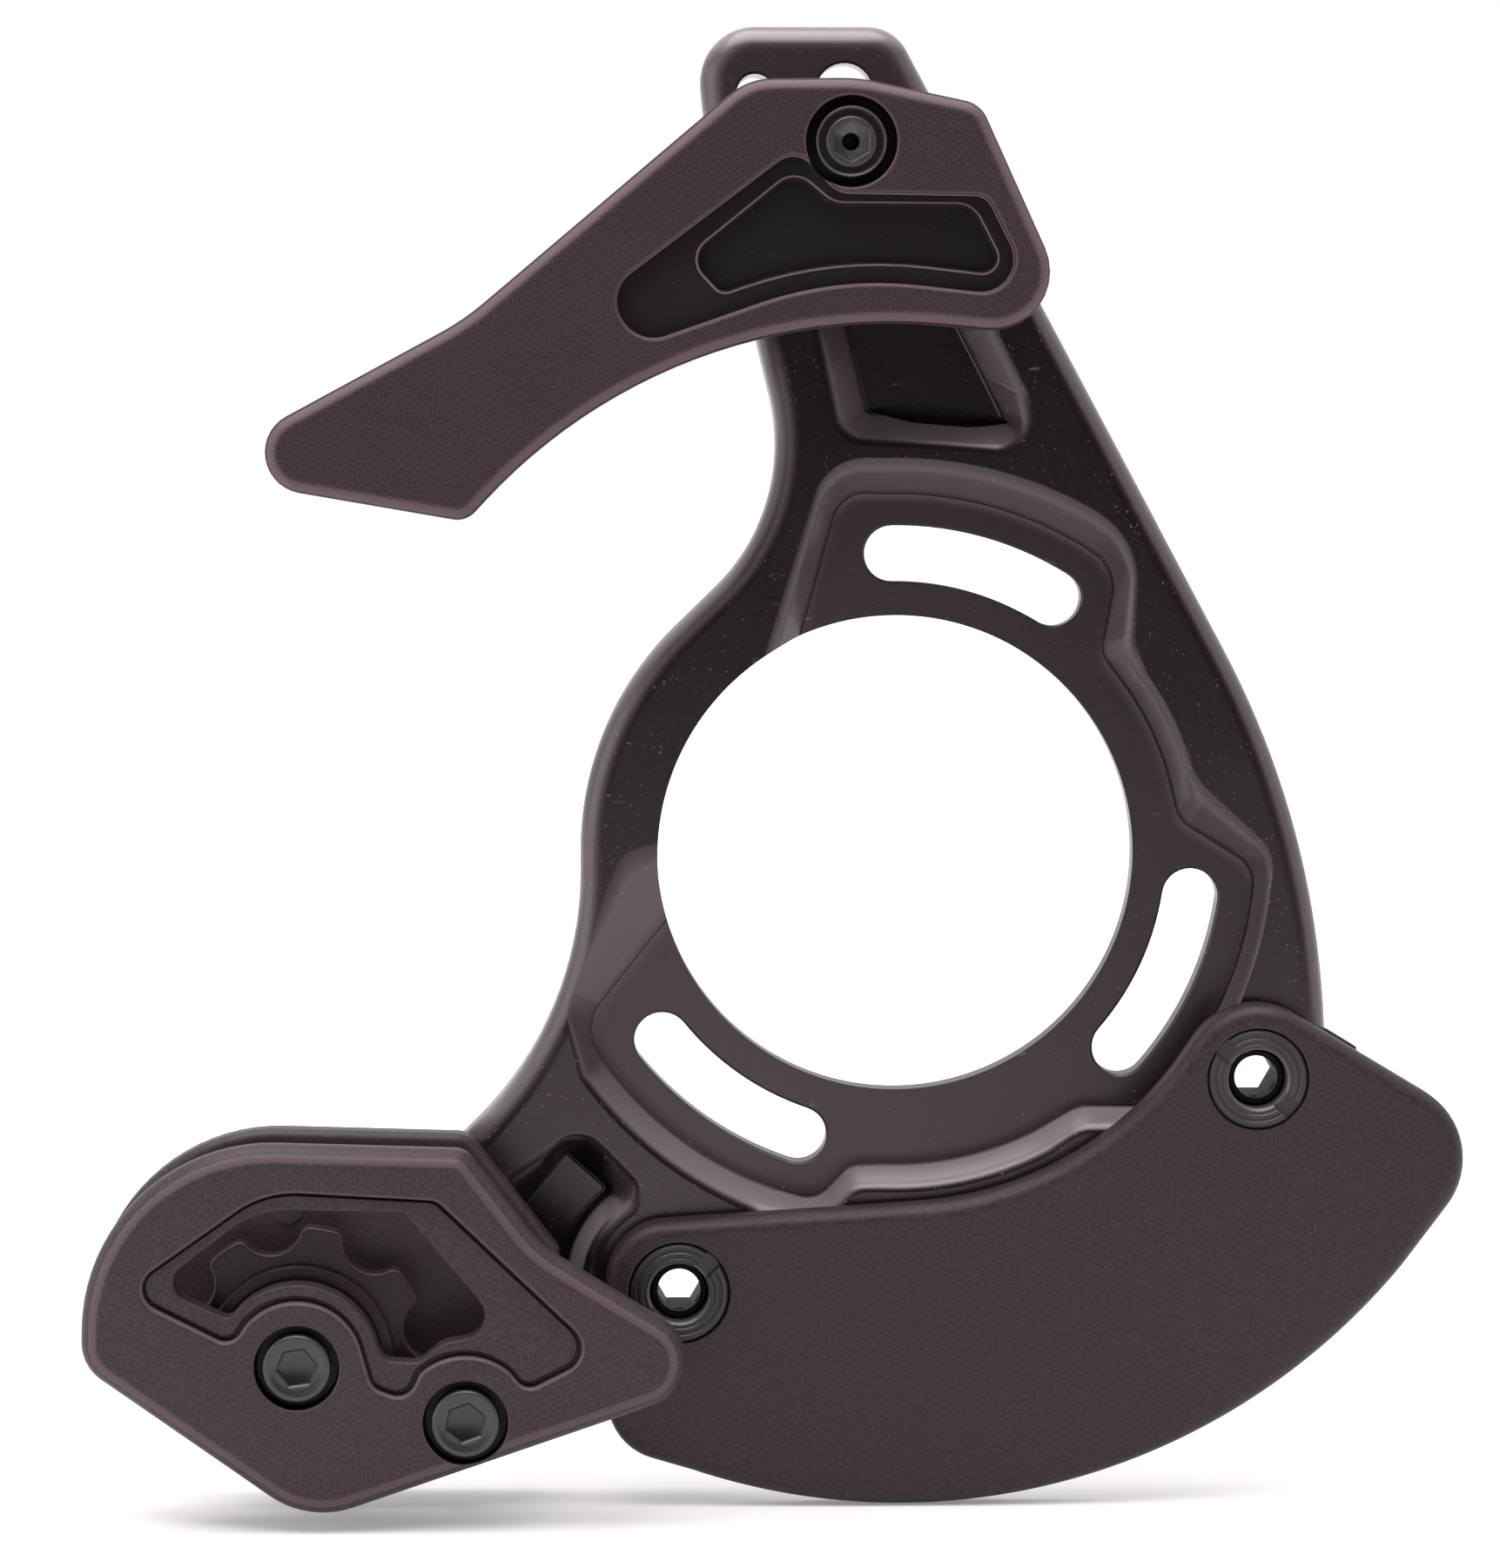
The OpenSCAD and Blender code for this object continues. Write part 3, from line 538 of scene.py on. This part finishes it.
def anodised_plate():
    """Black anodised plate: fine blasted grain, cutter arcs, dust, scuffs. Its head is lighter. Painted sheen
    lightens its slopes and its sunk floor, most on the left; painted highlights lie on its upward-facing
    slopes and on a crescent round the left nut."""
    f = Finish("anodised_plate", specular=0.62)
    f.shader.inputs["Specular Tint"].default_value = (1, 0.88, 0.91, 1)
    fine = f.noise(0.2, 3, 0.6)
    cloud = f.noise(14)
    x, z, depth, r = f.axis("X"), f.axis("Z"), f.axis("Y") * -1, f.radius((0, 0))
    sunk = (1 - depth.step(FLOOR_T + 0.1, FLOOR_T + 0.5)) * (1 - r.step(46, 49))
    arcs = (r * 9).math("SINE") * 0.5 + 0.5
    tone = f.mix(fine.step(0.3, 0.7) * 0.6 + cloud * 0.4, srgb("0f0a0b"), srgb("1f1719"))
    tone = f.mix(z.step(72, 88) * 0.9, tone, srgb("473a3e"))
    arm = (x * -1).step(34, 36) * (z * -1).step(31, 34)
    # Painted sheen: the sloping walls outside the arm's pocket are lighter, as if they mirrored the bright
    # room round the part.
    slope = depth.step(FLOOR_T + 0.15, FLOOR_T + 0.6) * (1 - depth.step(7.0, 7.42))
    tone = f.mix(slope * (1 - arm) * 0.7, tone, srgb("52474c"))
    # Painted highlight: the sloping walls that face up are lighter still, as if lit by the lamp above.
    facing = f.add("ShaderNodeTexCoord", {}, {}, "Normal")
    upward_highlight = f.add("ShaderNodeSeparateXYZ", {}, {"Vector": facing}, "Z").step(0.3, 0.7)
    tone = f.mix(slope * (1 - arm) * upward_highlight * 0.45, tone, srgb("9a8d96"))
    # Painted highlight on a crescent of the cone round the left nut, on the side that faces the light.
    boss_highlight = f.radius(LEFT_NUT).band(12.1, 13.4, 0.4) * arm * depth.step(ARM_FLOOR_T + 0.3, ARM_FLOOR_T + 0.8)
    tone = f.mix(boss_highlight * 0.75, tone, srgb("8f858a"))
    # Painted sheen: the sunk floor is lighter all over, and most of all on its left.
    floor_sheen = (1 - x.step(-35, 40)) * 0.75 + 0.15
    tone = f.mix(sunk * floor_sheen, tone, srgb("3a2f32"))
    scuff = f.noise(1.2, stretch=(0.25, 1, 1)).step(0.7, 0.74) * f.noise(9, 1).step(0.5, 0.6)
    tone = f.mix(f.dust(0.4) * 0.5, tone, srgb("8b7d81"))
    tone = f.mix(scuff * 0.35, tone, srgb("8b7d81"))
    roughness = fine * 0.1 + cloud * 0.08 + sunk * 0.08 + 0.2
    return f.done(tone, roughness, fine + arcs * sunk * 0.3, 0.15, 0.03)


def satin_steel(name, dark, light, rough=0.32, centre=None, metallic=0.85, band=None, specular=0.5):
    """Satin steel, with faint turning rings where it has a centre; band = (r, r) is a black ring."""
    f = Finish(name, metallic, specular)
    fine = f.noise(0.3, 3, 0.6)
    cloud = f.noise(2.5)
    rings = (f.radius(centre) * 28).math("SINE") * 0.5 + 0.5 if centre else fine
    tone = f.mix(fine * 0.5 + cloud * 0.5, srgb(dark), srgb(light))
    if band:
        tone = f.mix(f.radius(centre).band(band[0], band[1], 0.05), tone, srgb("2e2526"))
    return f.done(tone, fine * 0.15 + rings * 0.05 + rough - 0.1, rings * 0.6 + fine * 0.4, 0.12, 0.02)


def turned_alloy(name, dark, light, centre):
    """Black anodised alloy with turning rings and a bright inner chamfer."""
    f = Finish(name, specular=0.6)
    r = f.radius(centre)
    rings = (r * 11).math("SINE") * 0.5 + 0.5
    fine_rings = (r * 47).math("SINE") * 0.5 + 0.5
    fine = f.noise(0.3)
    tone = f.mix(rings * 0.4 + fine * 0.4 + fine_rings * 0.2, srgb(dark), srgb(light))
    tone = f.mix(r.band(3.5, 3.85, 0.08) * 0.3, tone, srgb("8b8286"))
    return f.done(tone, rings * 0.08 + fine * 0.08 + 0.3, rings * 0.6 + fine_rings * 0.5, 0.25, 0.03)


def soft_rubber(name, dark, light):
    """Matt rubber with a fine grain."""
    f = Finish(name)
    fine = f.noise(0.4, 3, 0.6)
    tone = f.mix(fine, srgb(dark), srgb(light))
    return f.done(tone, fine * 0.1 + 0.55, fine, 0.15, 0.02)


plate_finish = anodised_plate()
# The guide: pocket floors darkened and screw bed blackened as painted shade, painted highlights on its lips
# and bead.
guide_finish = moulded_plastic("guide_grain", "241b1e", "48393e", grain=0.26, bump=0.5,
                               sunk=(24.9, 25.4, "110b0a"), shaded_beds=[(GUIDE_BOLT, GUIDE_BED_R)],
                               edge_highlights=[(24.24, 24.35, 0.02, 0.9), (25.2, 25.8, 0.2, 0.5)])
guide_inner_finish = moulded_plastic("guide_inner_grain", "251d1f", "342a2d")
# The cage: screw beds blackened as painted shade, a painted highlight on its lips.
cage_finish = moulded_plastic("cage_grain", "2f2528", "45393e", grain=0.35, rough=0.46, bump=0.2,
                              shaded_beds=[(AXLE, CAP_BED_R), (CAGE_BOLT, CAP_BED_R)],
                              edge_highlights=[(25, 25.35, 0.12, 0.4)])
cage_inner_finish = moulded_plastic("cage_inner_grain", "32282a", "42363a", grain=0.5, rough=0.42, bump=0.12)
guard_finish = moulded_plastic("guard_grain", "2a2124", "3d3136", grain=0.45, rough=0.45, bump=0.12)
# The wheel: painted highlights on its tooth edges and on a ring of its hub.
wheel_finish = moulded_plastic("wheel_grain", "241b1e", "372b2f", grain=0.5, rough=0.42, bump=0.1,
                               edge_highlights=[(18.75, 19.02, 0.06, 0.45)], lined_ring_highlight=(AXLE, 10, 11.35))
guide_screw_finish = satin_steel("guide_screw_steel", "464847", "5b5c5c", centre=GUIDE_BOLT, metallic=0.5,
                                 band=(2.95, 3.85))
pulley_screw_finish = satin_steel("pulley_screw_steel", "323534", "484b4a", centre=AXLE, metallic=0.5)
cage_screw_finish = satin_steel("cage_screw_steel", "323534", "484b4a", centre=CAGE_BOLT, metallic=0.5)
plain_steel = satin_steel("plain_steel", "5a5f60", "83898a")
black_steel = satin_steel("black_steel", "0c0a0b", "171415", rough=0.55, metallic=0, specular=0.1)
ground_steel = satin_steel("ground_steel", "9a9da0", "c4c8ca", rough=0.25, centre=AXLE)
bright_alloy = satin_steel("bright_alloy", "8d9194", "b9bdc0", rough=0.35, centre=AXLE)
# The two nuts are the same part; the left one's darker colours are painted shade from the cage in front of
# it.
left_nut_shaded_finish = turned_alloy("left_nut_shaded_rings", "0f0b0c", "1d1719", LEFT_NUT)
right_nut_finish = turned_alloy("right_nut_rings", "1b1517", "342b2e", RIGHT_NUT)
seal_finish = soft_rubber("seal_rubber_black", "171415", "262122")


# Backplate
def make_backplate():
    plate = edged_plate("plate_body", plate_outline, 0, PLATE_T, PLATE_EDGE)
    add(plate, slab("ledge", lug_ledge, FLOOR_T, PLATE_T - 0.4))
    cut(plate,
        sloped(ring_floor, ring_mouth, FLOOR_T, PLATE_T, soft=0.32, foot=1.3, lift=0.12, line=0.1),
        sloped(neck_floor, neck_mouth, FLOOR_T, PLATE_T, soft=0.24, line=0),
        slab("groove", neck_groove, NECK_GROOVE_T, FLOOR_T + 1),
        sloped(arm_floor, arm_mouth, ARM_FLOOR_T, PLATE_T, soft=0.5),
        turned("bore", (0, 0), [(BORE_R + 0.4, -1), (BORE_R + 0.4, 0), (BORE_R, 0.4), (BORE_R, 9)],
               sides=192))
    cut(plate, *[frame_slot(angle) for angle in SLOT_ANGLES])
    x = GUIDE_BOLT[0]
    t_nut_bed = rectangle(x - T_NUT_BED_W / 2, x + T_NUT_BED_W / 2, *T_NUT_BED_Z, 0.6)
    cut(plate, head_slot(x, *BOLT_SLOT_Z, BOLT_SLOT_R), head_slot(PEG_SLOT_X, *PEG_SLOT_Z, PEG_SLOT_R))
    cut(plate, slab("bed", t_nut_bed, -1, BED_T))
    for p in (LEFT_NUT, RIGHT_NUT):
        cut(plate, bore(p, NUT_HOLE_R, 0, PLATE_T),
            turned("bed", p, [(BOLT_BED_R + 0.2, -1), (BOLT_BED_R + 0.2, 0), (BOLT_BED_R, 0.2),
                              (BOLT_BED_R, BED_T)]))
    for p in (AXLE, CAGE_BOLT):
        cut(plate, bore(p, CLEAR_R, 0, PLATE_T, rim=0.3))

    def bore_rim(a, b):
        return (abs(math.hypot(a.x, a.z) - BORE_R) < 0.05 and abs(math.hypot(b.x, b.z) - BORE_R) < 0.05
                and abs(a.y - b.y) < 0.02 and min(-a.y, -b.y) > 2)
    bevel_rims(plate, bore_rim, 0.35)
    finished(plate, "backplate", plate_finish)


# Upper guide
def make_guide_shell():
    shell = edged_plate("guide_shell", guide_outline, OUTER_FACE, GUIDE_FRONT, GUIDE_EDGE)
    floor, deep_floor = GUIDE_FRONT - GUIDE_POCKET_T, GUIDE_FRONT - GUIDE_DEEP_POCKET_T
    cut(shell, pocket(guide_pocket, floor, GUIDE_FRONT, foot=0.3))
    add(shell, loft("bead", [(floor + up, rounded(inset(guide_deep_pocket, -out)))
                             for up, out in ((-0.3, 0.3), (0, 0.3), (0.07, 0.22), (0.1, 0.12))]))
    cut(shell, pocket(guide_deep_pocket, deep_floor, floor + 0.1, lip=0.08, foot=0.3, over=2.4),
        turned("bed", GUIDE_BOLT, [(GUIDE_BED_R - 0.2, CAP_BED), (GUIDE_BED_R, CAP_BED + 0.2),
                                   (GUIDE_BED_R, GUIDE_FRONT - 0.4), (5.37, GUIDE_FRONT - 0.2),
                                   (5.55, GUIDE_FRONT - 0.05), (5.75, GUIDE_FRONT + 0.01), (5.75, 28)],
               sides=96),
        bore(GUIDE_BOLT, CLEAR_R, OUTER_FACE, CAP_BED, rim=0.3))
    roof = slab("roof", inset(guide_outline, 0.4), INNER_FACE, OUTER_FACE + 1)
    cut(roof, slab("hollow", inset(guide_outline, 2.6), INNER_FACE - 1, OUTER_FACE + 2))
    combine(roof, "INTERSECT", slab("stretch", guide_roof, INNER_FACE - 1, OUTER_FACE + 3))
    add(shell, roof)
    finished(shell, "upper_outer_shell", guide_finish)


def make_guide_inner_plate():
    back = PLATE_T + 0.05
    inner = edged_plate("guide_inner", inset(guide_outline, 0.3), back, INNER_FACE, 1, back_edge=0.3, steps=5)
    peg = [(PEG_R - 0.3, 1.5), (PEG_R, 1.8), (PEG_R, PLATE_T + 1)]
    add(inner, *[turned("peg", (PEG_SLOT_X, z), peg, sides=40) for z in PEG_Z])
    cut(inner, bore(GUIDE_BOLT, CLEAR_R, back, INNER_FACE, rim=0.3))
    finished(inner, "upper_inner_plate", guide_inner_finish)


def make_guide_bolt():
    top = GUIDE_FRONT - 0.5
    bolt = turned("guide_bolt", GUIDE_BOLT, [
        (2.1, 0.6), (SHANK_R, 0.95), (SHANK_R, CAP_BED), (3.95, CAP_BED), (GUIDE_CAP_R, CAP_BED + 0.2),
        (GUIDE_CAP_R, top - 0.2), (4.08, top - 0.04), (4.02, top), (3.95, top), (3.86, top - 0.06),
        (3.78, top - 0.3), (3.68, top - 0.38), (3.0, top - 0.38), (2.92, top - 0.32), (2.85, top - 0.1),
        (2.76, top - 0.04), (2.5, top - 0.04)], sides=96)
    cut(bolt, key_socket(GUIDE_BOLT, KEY_AF, GUIDE_FRONT - 1.7, top - 0.04, 30),
        turned("centre", GUIDE_BOLT, [(0.6, 21), (0.98, 21.4), (0.98, GUIDE_FRONT - 1.8),
                                      (1.3, GUIDE_FRONT - 1.4), (1.3, 28)], sides=40))
    finished(bolt, "upper_bolt", guide_screw_finish, angle=25)


def make_t_nut():
    x, z = GUIDE_BOLT
    path = rectangle(x - T_NUT_W / 2, x + T_NUT_W / 2, z - T_NUT_H / 2, z + T_NUT_H / 2, 1.2)
    nut = edged_plate("guide_t_nut", path, 0.2, BED_T - 0.05, 0.3, back_edge=0.4, steps=3)
    add(nut, turned("barrel", GUIDE_BOLT, [(3.3, 2), (3.3, 6.9), (3.0, 7.2)]))
    cut(nut, bore(GUIDE_BOLT, CLEAR_R, 0.2, 7.2, rim=0.3))
    finished(nut, "upper_t_nut", plain_steel)


# Pulley cage
def make_cage_outer_plate():
    plate = edged_plate("cage_outer", cage_outline, OUTER_FACE, CAGE_FRONT, CAGE_EDGE)
    sunk_face = CAGE_FRONT - CAGE_SUNK_T
    cut(plate, pocket(cage_sunk, sunk_face, CAGE_FRONT, lip=0.7, foot=0))
    gap = slab("gap", cage_sunk, sunk_face - 0.9, sunk_face + 0.1)
    panel = [(x - 0.12, z + 0.14, *r) for x, z, *r in inset(cage_sunk, 0.4)]
    cut(gap, loft("panel", [(sunk_face + up, rounded(path)) for up, path in (
        (-1.5, panel), (-0.15, panel), (0, inset(panel, 0.12)), (1, inset(panel, 0.12)))]))
    cut(plate, gap, pocket(cage_window, OUTER_FACE - 1, sunk_face, foot=0, over=2))
    for p in (AXLE, CAGE_BOLT):
        cut(plate, turned("bed", p, [(CAP_BED_R - 0.2, CAP_BED), (CAP_BED_R, CAP_BED + 0.2),
                                     (CAP_BED_R, CAGE_FRONT - 0.4), (5.08, CAGE_FRONT - 0.18),
                                     (5.22, CAGE_FRONT - 0.04), (5.4, CAGE_FRONT + 0.01), (5.4, 28)],
                   sides=96),
            bore(p, CLEAR_R, OUTER_FACE, CAP_BED, rim=0.3))
    finished(plate, "cage_outer_plate", cage_finish)


def make_cage_inner_plate():
    inner = edged_plate("cage_inner", cage_inner_outline, PLATE_T, INNER_FACE, 1.2, back_edge=0.3,
                        steps=5)
    add(inner, turned("mark", (-73.7, -42.2), [(2, INNER_FACE - 1), (2, INNER_FACE + 0.1),
                                               (1.8, INNER_FACE + 0.25)], sides=48))
    for p in (AXLE, CAGE_BOLT):
        cut(inner, bore(p, CLEAR_R, PLATE_T, INNER_FACE, rim=0.3))
    finished(inner, "cage_inner_plate", cage_inner_finish)


def make_cap_screw(name, p, node, finish, turn):
    """Cap screw with its key socket turned by an angle in degrees."""
    top = CAP_TOP
    screw = turned(name, p, [
        (2.1, 0.8), (SHANK_R, 1.15), (SHANK_R, CAP_BED), (3.85, CAP_BED), (CAP_R, CAP_BED + 0.15),
        (CAP_R, top - 0.35), (3.93, top - 0.15), (3.75, top - 0.02), (3.6, top), (3.35, top),
        (3.2, top - 0.04), (2.9, top - 0.2), (2.5, top - 0.24)], sides=96)
    cut(screw, key_socket(p, KEY_AF, CAP_BED + 0.4, top - 0.24, turn))
    finished(screw, node, finish, angle=25)


# Pulley wheel
def make_wheel():
    path = []
    for k in range(TEETH):
        tooth = 90 - WHEEL_TURN - 45 * k
        gap = tooth - 22.5
        path += arc(AXLE, TIP_R, tooth + 7, tooth - 7, 1)
        path += arc(polar(AXLE, PITCH_R, gap), PITCH_R - ROOT_R, gap + 116, gap + 244, 5)
    wheel = slab("toothed_wheel", path, CHAIN_LINE - WEB_T / 2, CHAIN_LINE + WEB_T / 2)

    def side_rim(a, b):
        return abs(a.y - b.y) < 0.01
    bevel_rims(wheel, side_rim, 0.4, segments=3)
    add(wheel, turned("hub", AXLE, [(10.9, 14.5), (HUB_R, 14.9), (HUB_R, 20.1), (11.15, 20.4),
                                    (10.9, 20.5)], sides=96))
    cut(wheel, turned("seat", AXLE, [(10.1, 13), (10.1, 14.5), (BEARING_R, 14.95), (BEARING_R, 20.05),
                                     (10.05, 20.5), (10.05, 22)], sides=96))
    finished(wheel, "pulley_wheel", wheel_finish)


# Bash guard and chainring nuts
def make_bash_guard():
    guard = edged_plate("guard_body", bash_outline, PLATE_T, BASH_FRONT, BASH_EDGE, back_edge=0.4)
    for p in (LEFT_NUT, RIGHT_NUT):
        cut(guard, bore(p, NUT_HOLE_R, PLATE_T, BASH_FRONT, rim=0.2),
            turned("bed", p, [(NUT_BED_R, NUT_FLANGE_BACK), (NUT_BED_R, 11.8), (6.22, 11.98),
                              (6.45, BASH_FRONT + 0.01), (6.45, 14)], sides=96))
    finished(guard, "bash_guard", guard_finish)


def make_nut(name, p, node, finish, turn):
    """Chainring nut with its key slot turned by an angle in degrees."""
    top = BASH_FRONT - 0.1
    nut = turned(name, p, [
        (4.5, 2.4), (NUT_BARREL_R, 2.8), (NUT_BARREL_R, NUT_FLANGE_BACK), (5.85, NUT_FLANGE_BACK),
        (NUT_FLANGE_R, NUT_FLANGE_BACK + 0.15), (NUT_FLANGE_R, top - 0.25), (5.75, top), (5.25, top),
        (5.12, top - 0.12), (4.98, top - 0.12), (4.85, top), (4.45, top), (4.33, top - 0.1),
        (4.25, top - 0.1), (4.13, top - 0.02), (3.3, top - 0.02)], sides=96)
    cut(nut, turned("through", p, [(4.0, 1), (4.0, 2.4), (NUT_BORE_R, 2.8), (NUT_BORE_R, top - 0.35),
                                   (3.95, top), (3.95, 14)], sides=72))
    c, s = math.cos(math.radians(turn)), math.sin(math.radians(turn))
    key = [(p[0] + u * c - v * s, p[1] + u * s + v * c, 0) for u, v, _ in
           rectangle(-9, 9, -KEY_SLOT_W / 2, KEY_SLOT_W / 2, 0)]
    cut(nut, slab("key_slot", key, BASH_FRONT - 0.9, 15))
    finished(nut, node, finish, angle=25)


def make_chainring_bolt(name, p, node):
    tip = BASH_FRONT - 2.6
    bolt = turned(name, p, [(5.6, 0.2), (6, 0.6), (6, 1.95), (5.8, BED_T), (3.55, BED_T), (3.55, tip - 0.4),
                            (3.2, tip)])
    cut(bolt, loft("key", [(depth, hexagon(p, across)) for depth, across in (
        (-1, 5.5), (0.21, 5.5), (0.5, 5), (tip - 1, 5))]),
        turned("tip", p, [(2.6, tip - 1.5), (2.6, tip + 1)], sides=48))
    finished(bolt, node, black_steel, angle=25)


make_backplate()
make_guide_shell()
make_guide_inner_plate()
make_guide_bolt()
make_t_nut()
make_cage_outer_plate()
make_cage_inner_plate()
make_cap_screw("pulley_cap_screw", AXLE, "pulley_screw", pulley_screw_finish, turn=8)
make_cap_screw("cage_cap_screw", CAGE_BOLT, "cage_screw", cage_screw_finish, turn=20)
make_wheel()
make_bash_guard()
make_nut("left_nut", LEFT_NUT, "left_chainring_nut", left_nut_shaded_finish, turn=45)
make_nut("right_nut", RIGHT_NUT, "right_chainring_nut", right_nut_finish, turn=-42)
make_chainring_bolt("left_bolt", LEFT_NUT, "left_chainring_bolt")
make_chainring_bolt("right_bolt", RIGHT_NUT, "right_chainring_bolt")

for node, finish in {
    "upper_spacer": bright_alloy, "cage_spacer": bright_alloy, "pulley_front_bush": bright_alloy,
    "pulley_back_bush": bright_alloy, "bearing_outer_ring": ground_steel, "bearing_inner_ring": ground_steel,
    "bearing_balls": ground_steel, "bearing_front_shield": seal_finish, "bearing_back_shield": seal_finish,
}.items():
    for slot in CAD[node].material_slots:
        slot.material = finish


# Stage, light and camera
TABLE_SIZE, TABLE_EDGE, TABLE_TOP = 6, -0.53, -0.079
ROOM_WAY, ROOM_DARK, ROOM_END = (0.24, -0.97, 0.05), 28, 58
CAMERA_PLACE, CAMERA_WAY = (-0.03476, -0.600, 0.05291), (0.02852, 0.99683, -0.07430)


def seen_or_mirrored(n):
    """1 for rays from the camera and for those that a glossy or clear surface sends on."""
    seen, glossy, clear = (n.add("ShaderNodeLightPath", {}, {}, kind)
                           for kind in ("Is Camera Ray", "Is Glossy Ray", "Is Transmission Ray"))
    return seen.math("MAXIMUM", glossy).math("MAXIMUM", clear)


def make_floor():
    """White table that ends in front of the part. For the camera and in reflections it glows, most of all
    far behind and aside."""
    bpy.ops.object.select_all(action="DESELECT")
    bpy.ops.mesh.primitive_plane_add(size=TABLE_SIZE, location=(0, TABLE_EDGE + TABLE_SIZE / 2, TABLE_TOP))
    floor = bpy.context.object
    floor.name = "floor"
    material = bpy.data.materials.new("white_table")
    material.use_nodes = True
    material.node_tree.nodes.clear()
    n = Nodes(material.node_tree)
    matt = n.add("ShaderNodeBsdfDiffuse", {}, {"Color": (0.78, 0.735, 0.74, 1)})
    spot = n.add("ShaderNodeNewGeometry", {}, {}, "Position")
    behind = n.add("ShaderNodeSeparateXYZ", {}, {0: spot}, "Y").step(0.1, 0.7)
    aside = n.add("ShaderNodeSeparateXYZ", {}, {0: spot}, "X").math("ABSOLUTE").step(0.5, 1.1)
    strength = seen_or_mirrored(n) * (behind.math("MAXIMUM", aside) * 0.7 + 0.22)
    glow = n.add("ShaderNodeEmission", {}, {"Strength": strength})
    both = n.add("ShaderNodeAddShader", {}, {0: matt, 1: glow})
    n.add("ShaderNodeOutputMaterial", {}, {"Surface": both}, None)
    floor.data.materials.append(material)


def make_world():
    """White for the camera, soft light for matt surfaces, and the dark room in front for mirroring ones."""
    world = bpy.data.worlds.new("studio")
    bpy.context.scene.world = world
    world.use_nodes = True
    world.node_tree.nodes.clear()
    n = Nodes(world.node_tree)
    way = n.add("ShaderNodeTexCoord", {}, {}, "Generated")
    ahead = n.add("ShaderNodeVectorMath", {"operation": "DOT_PRODUCT"}, {0: way, 1: ROOM_WAY}, "Value")
    camera = n.add("ShaderNodeLightPath", {}, {}, "Is Camera Ray")
    mirrored = seen_or_mirrored(n) - camera
    in_room = 1 - ahead.step(math.cos(math.radians(ROOM_END)), math.cos(math.radians(ROOM_DARK))) * 0.97
    soft = 0.95 - (n.add("ShaderNodeSeparateXYZ", {}, {0: way}, "Y") * -1).step(0.1, 0.95) * 0.87
    strength = camera + mirrored * in_room + (1 - camera - mirrored) * soft
    shade = n.add("ShaderNodeBackground", {}, {"Color": (1, 1, 1, 1), "Strength": strength})
    n.add("ShaderNodeOutputWorld", {}, {"Surface": shade}, None)


def make_light(name, place, target, size, watts):
    """Square soft box that faces its target."""
    bpy.ops.object.light_add(type="AREA", location=place)
    lamp = bpy.context.object
    lamp.name = name
    lamp.data.shape = "RECTANGLE"
    lamp.data.size, lamp.data.size_y = size, size
    lamp.data.energy = watts
    lamp.rotation_euler = (Vector(target) - Vector(place)).to_track_quat("-Z", "Y").to_euler()


def make_camera():
    """The camera that took the photograph, as worked out from it."""
    bpy.ops.object.camera_add(location=CAMERA_PLACE)
    camera = bpy.context.object
    camera.rotation_euler = Vector(CAMERA_WAY).to_track_quat("-Z", "Y").to_euler()
    camera.data.sensor_width, camera.data.lens = 36, 112.8
    camera.data.clip_start, camera.data.clip_end = 0.01, 50
    bpy.context.scene.camera = camera


make_floor()
make_world()
make_light("top_softbox", (-0.1, -0.16, 1.1), target=(-0.02, 0, 0), size=1.1, watts=19)
make_light("left_softbox", (-1.1, -0.3, 0.15), target=(0, 0, 0.02), size=0.8, watts=2.6)
make_camera()
bpy.context.scene.view_settings.view_transform = "Standard"
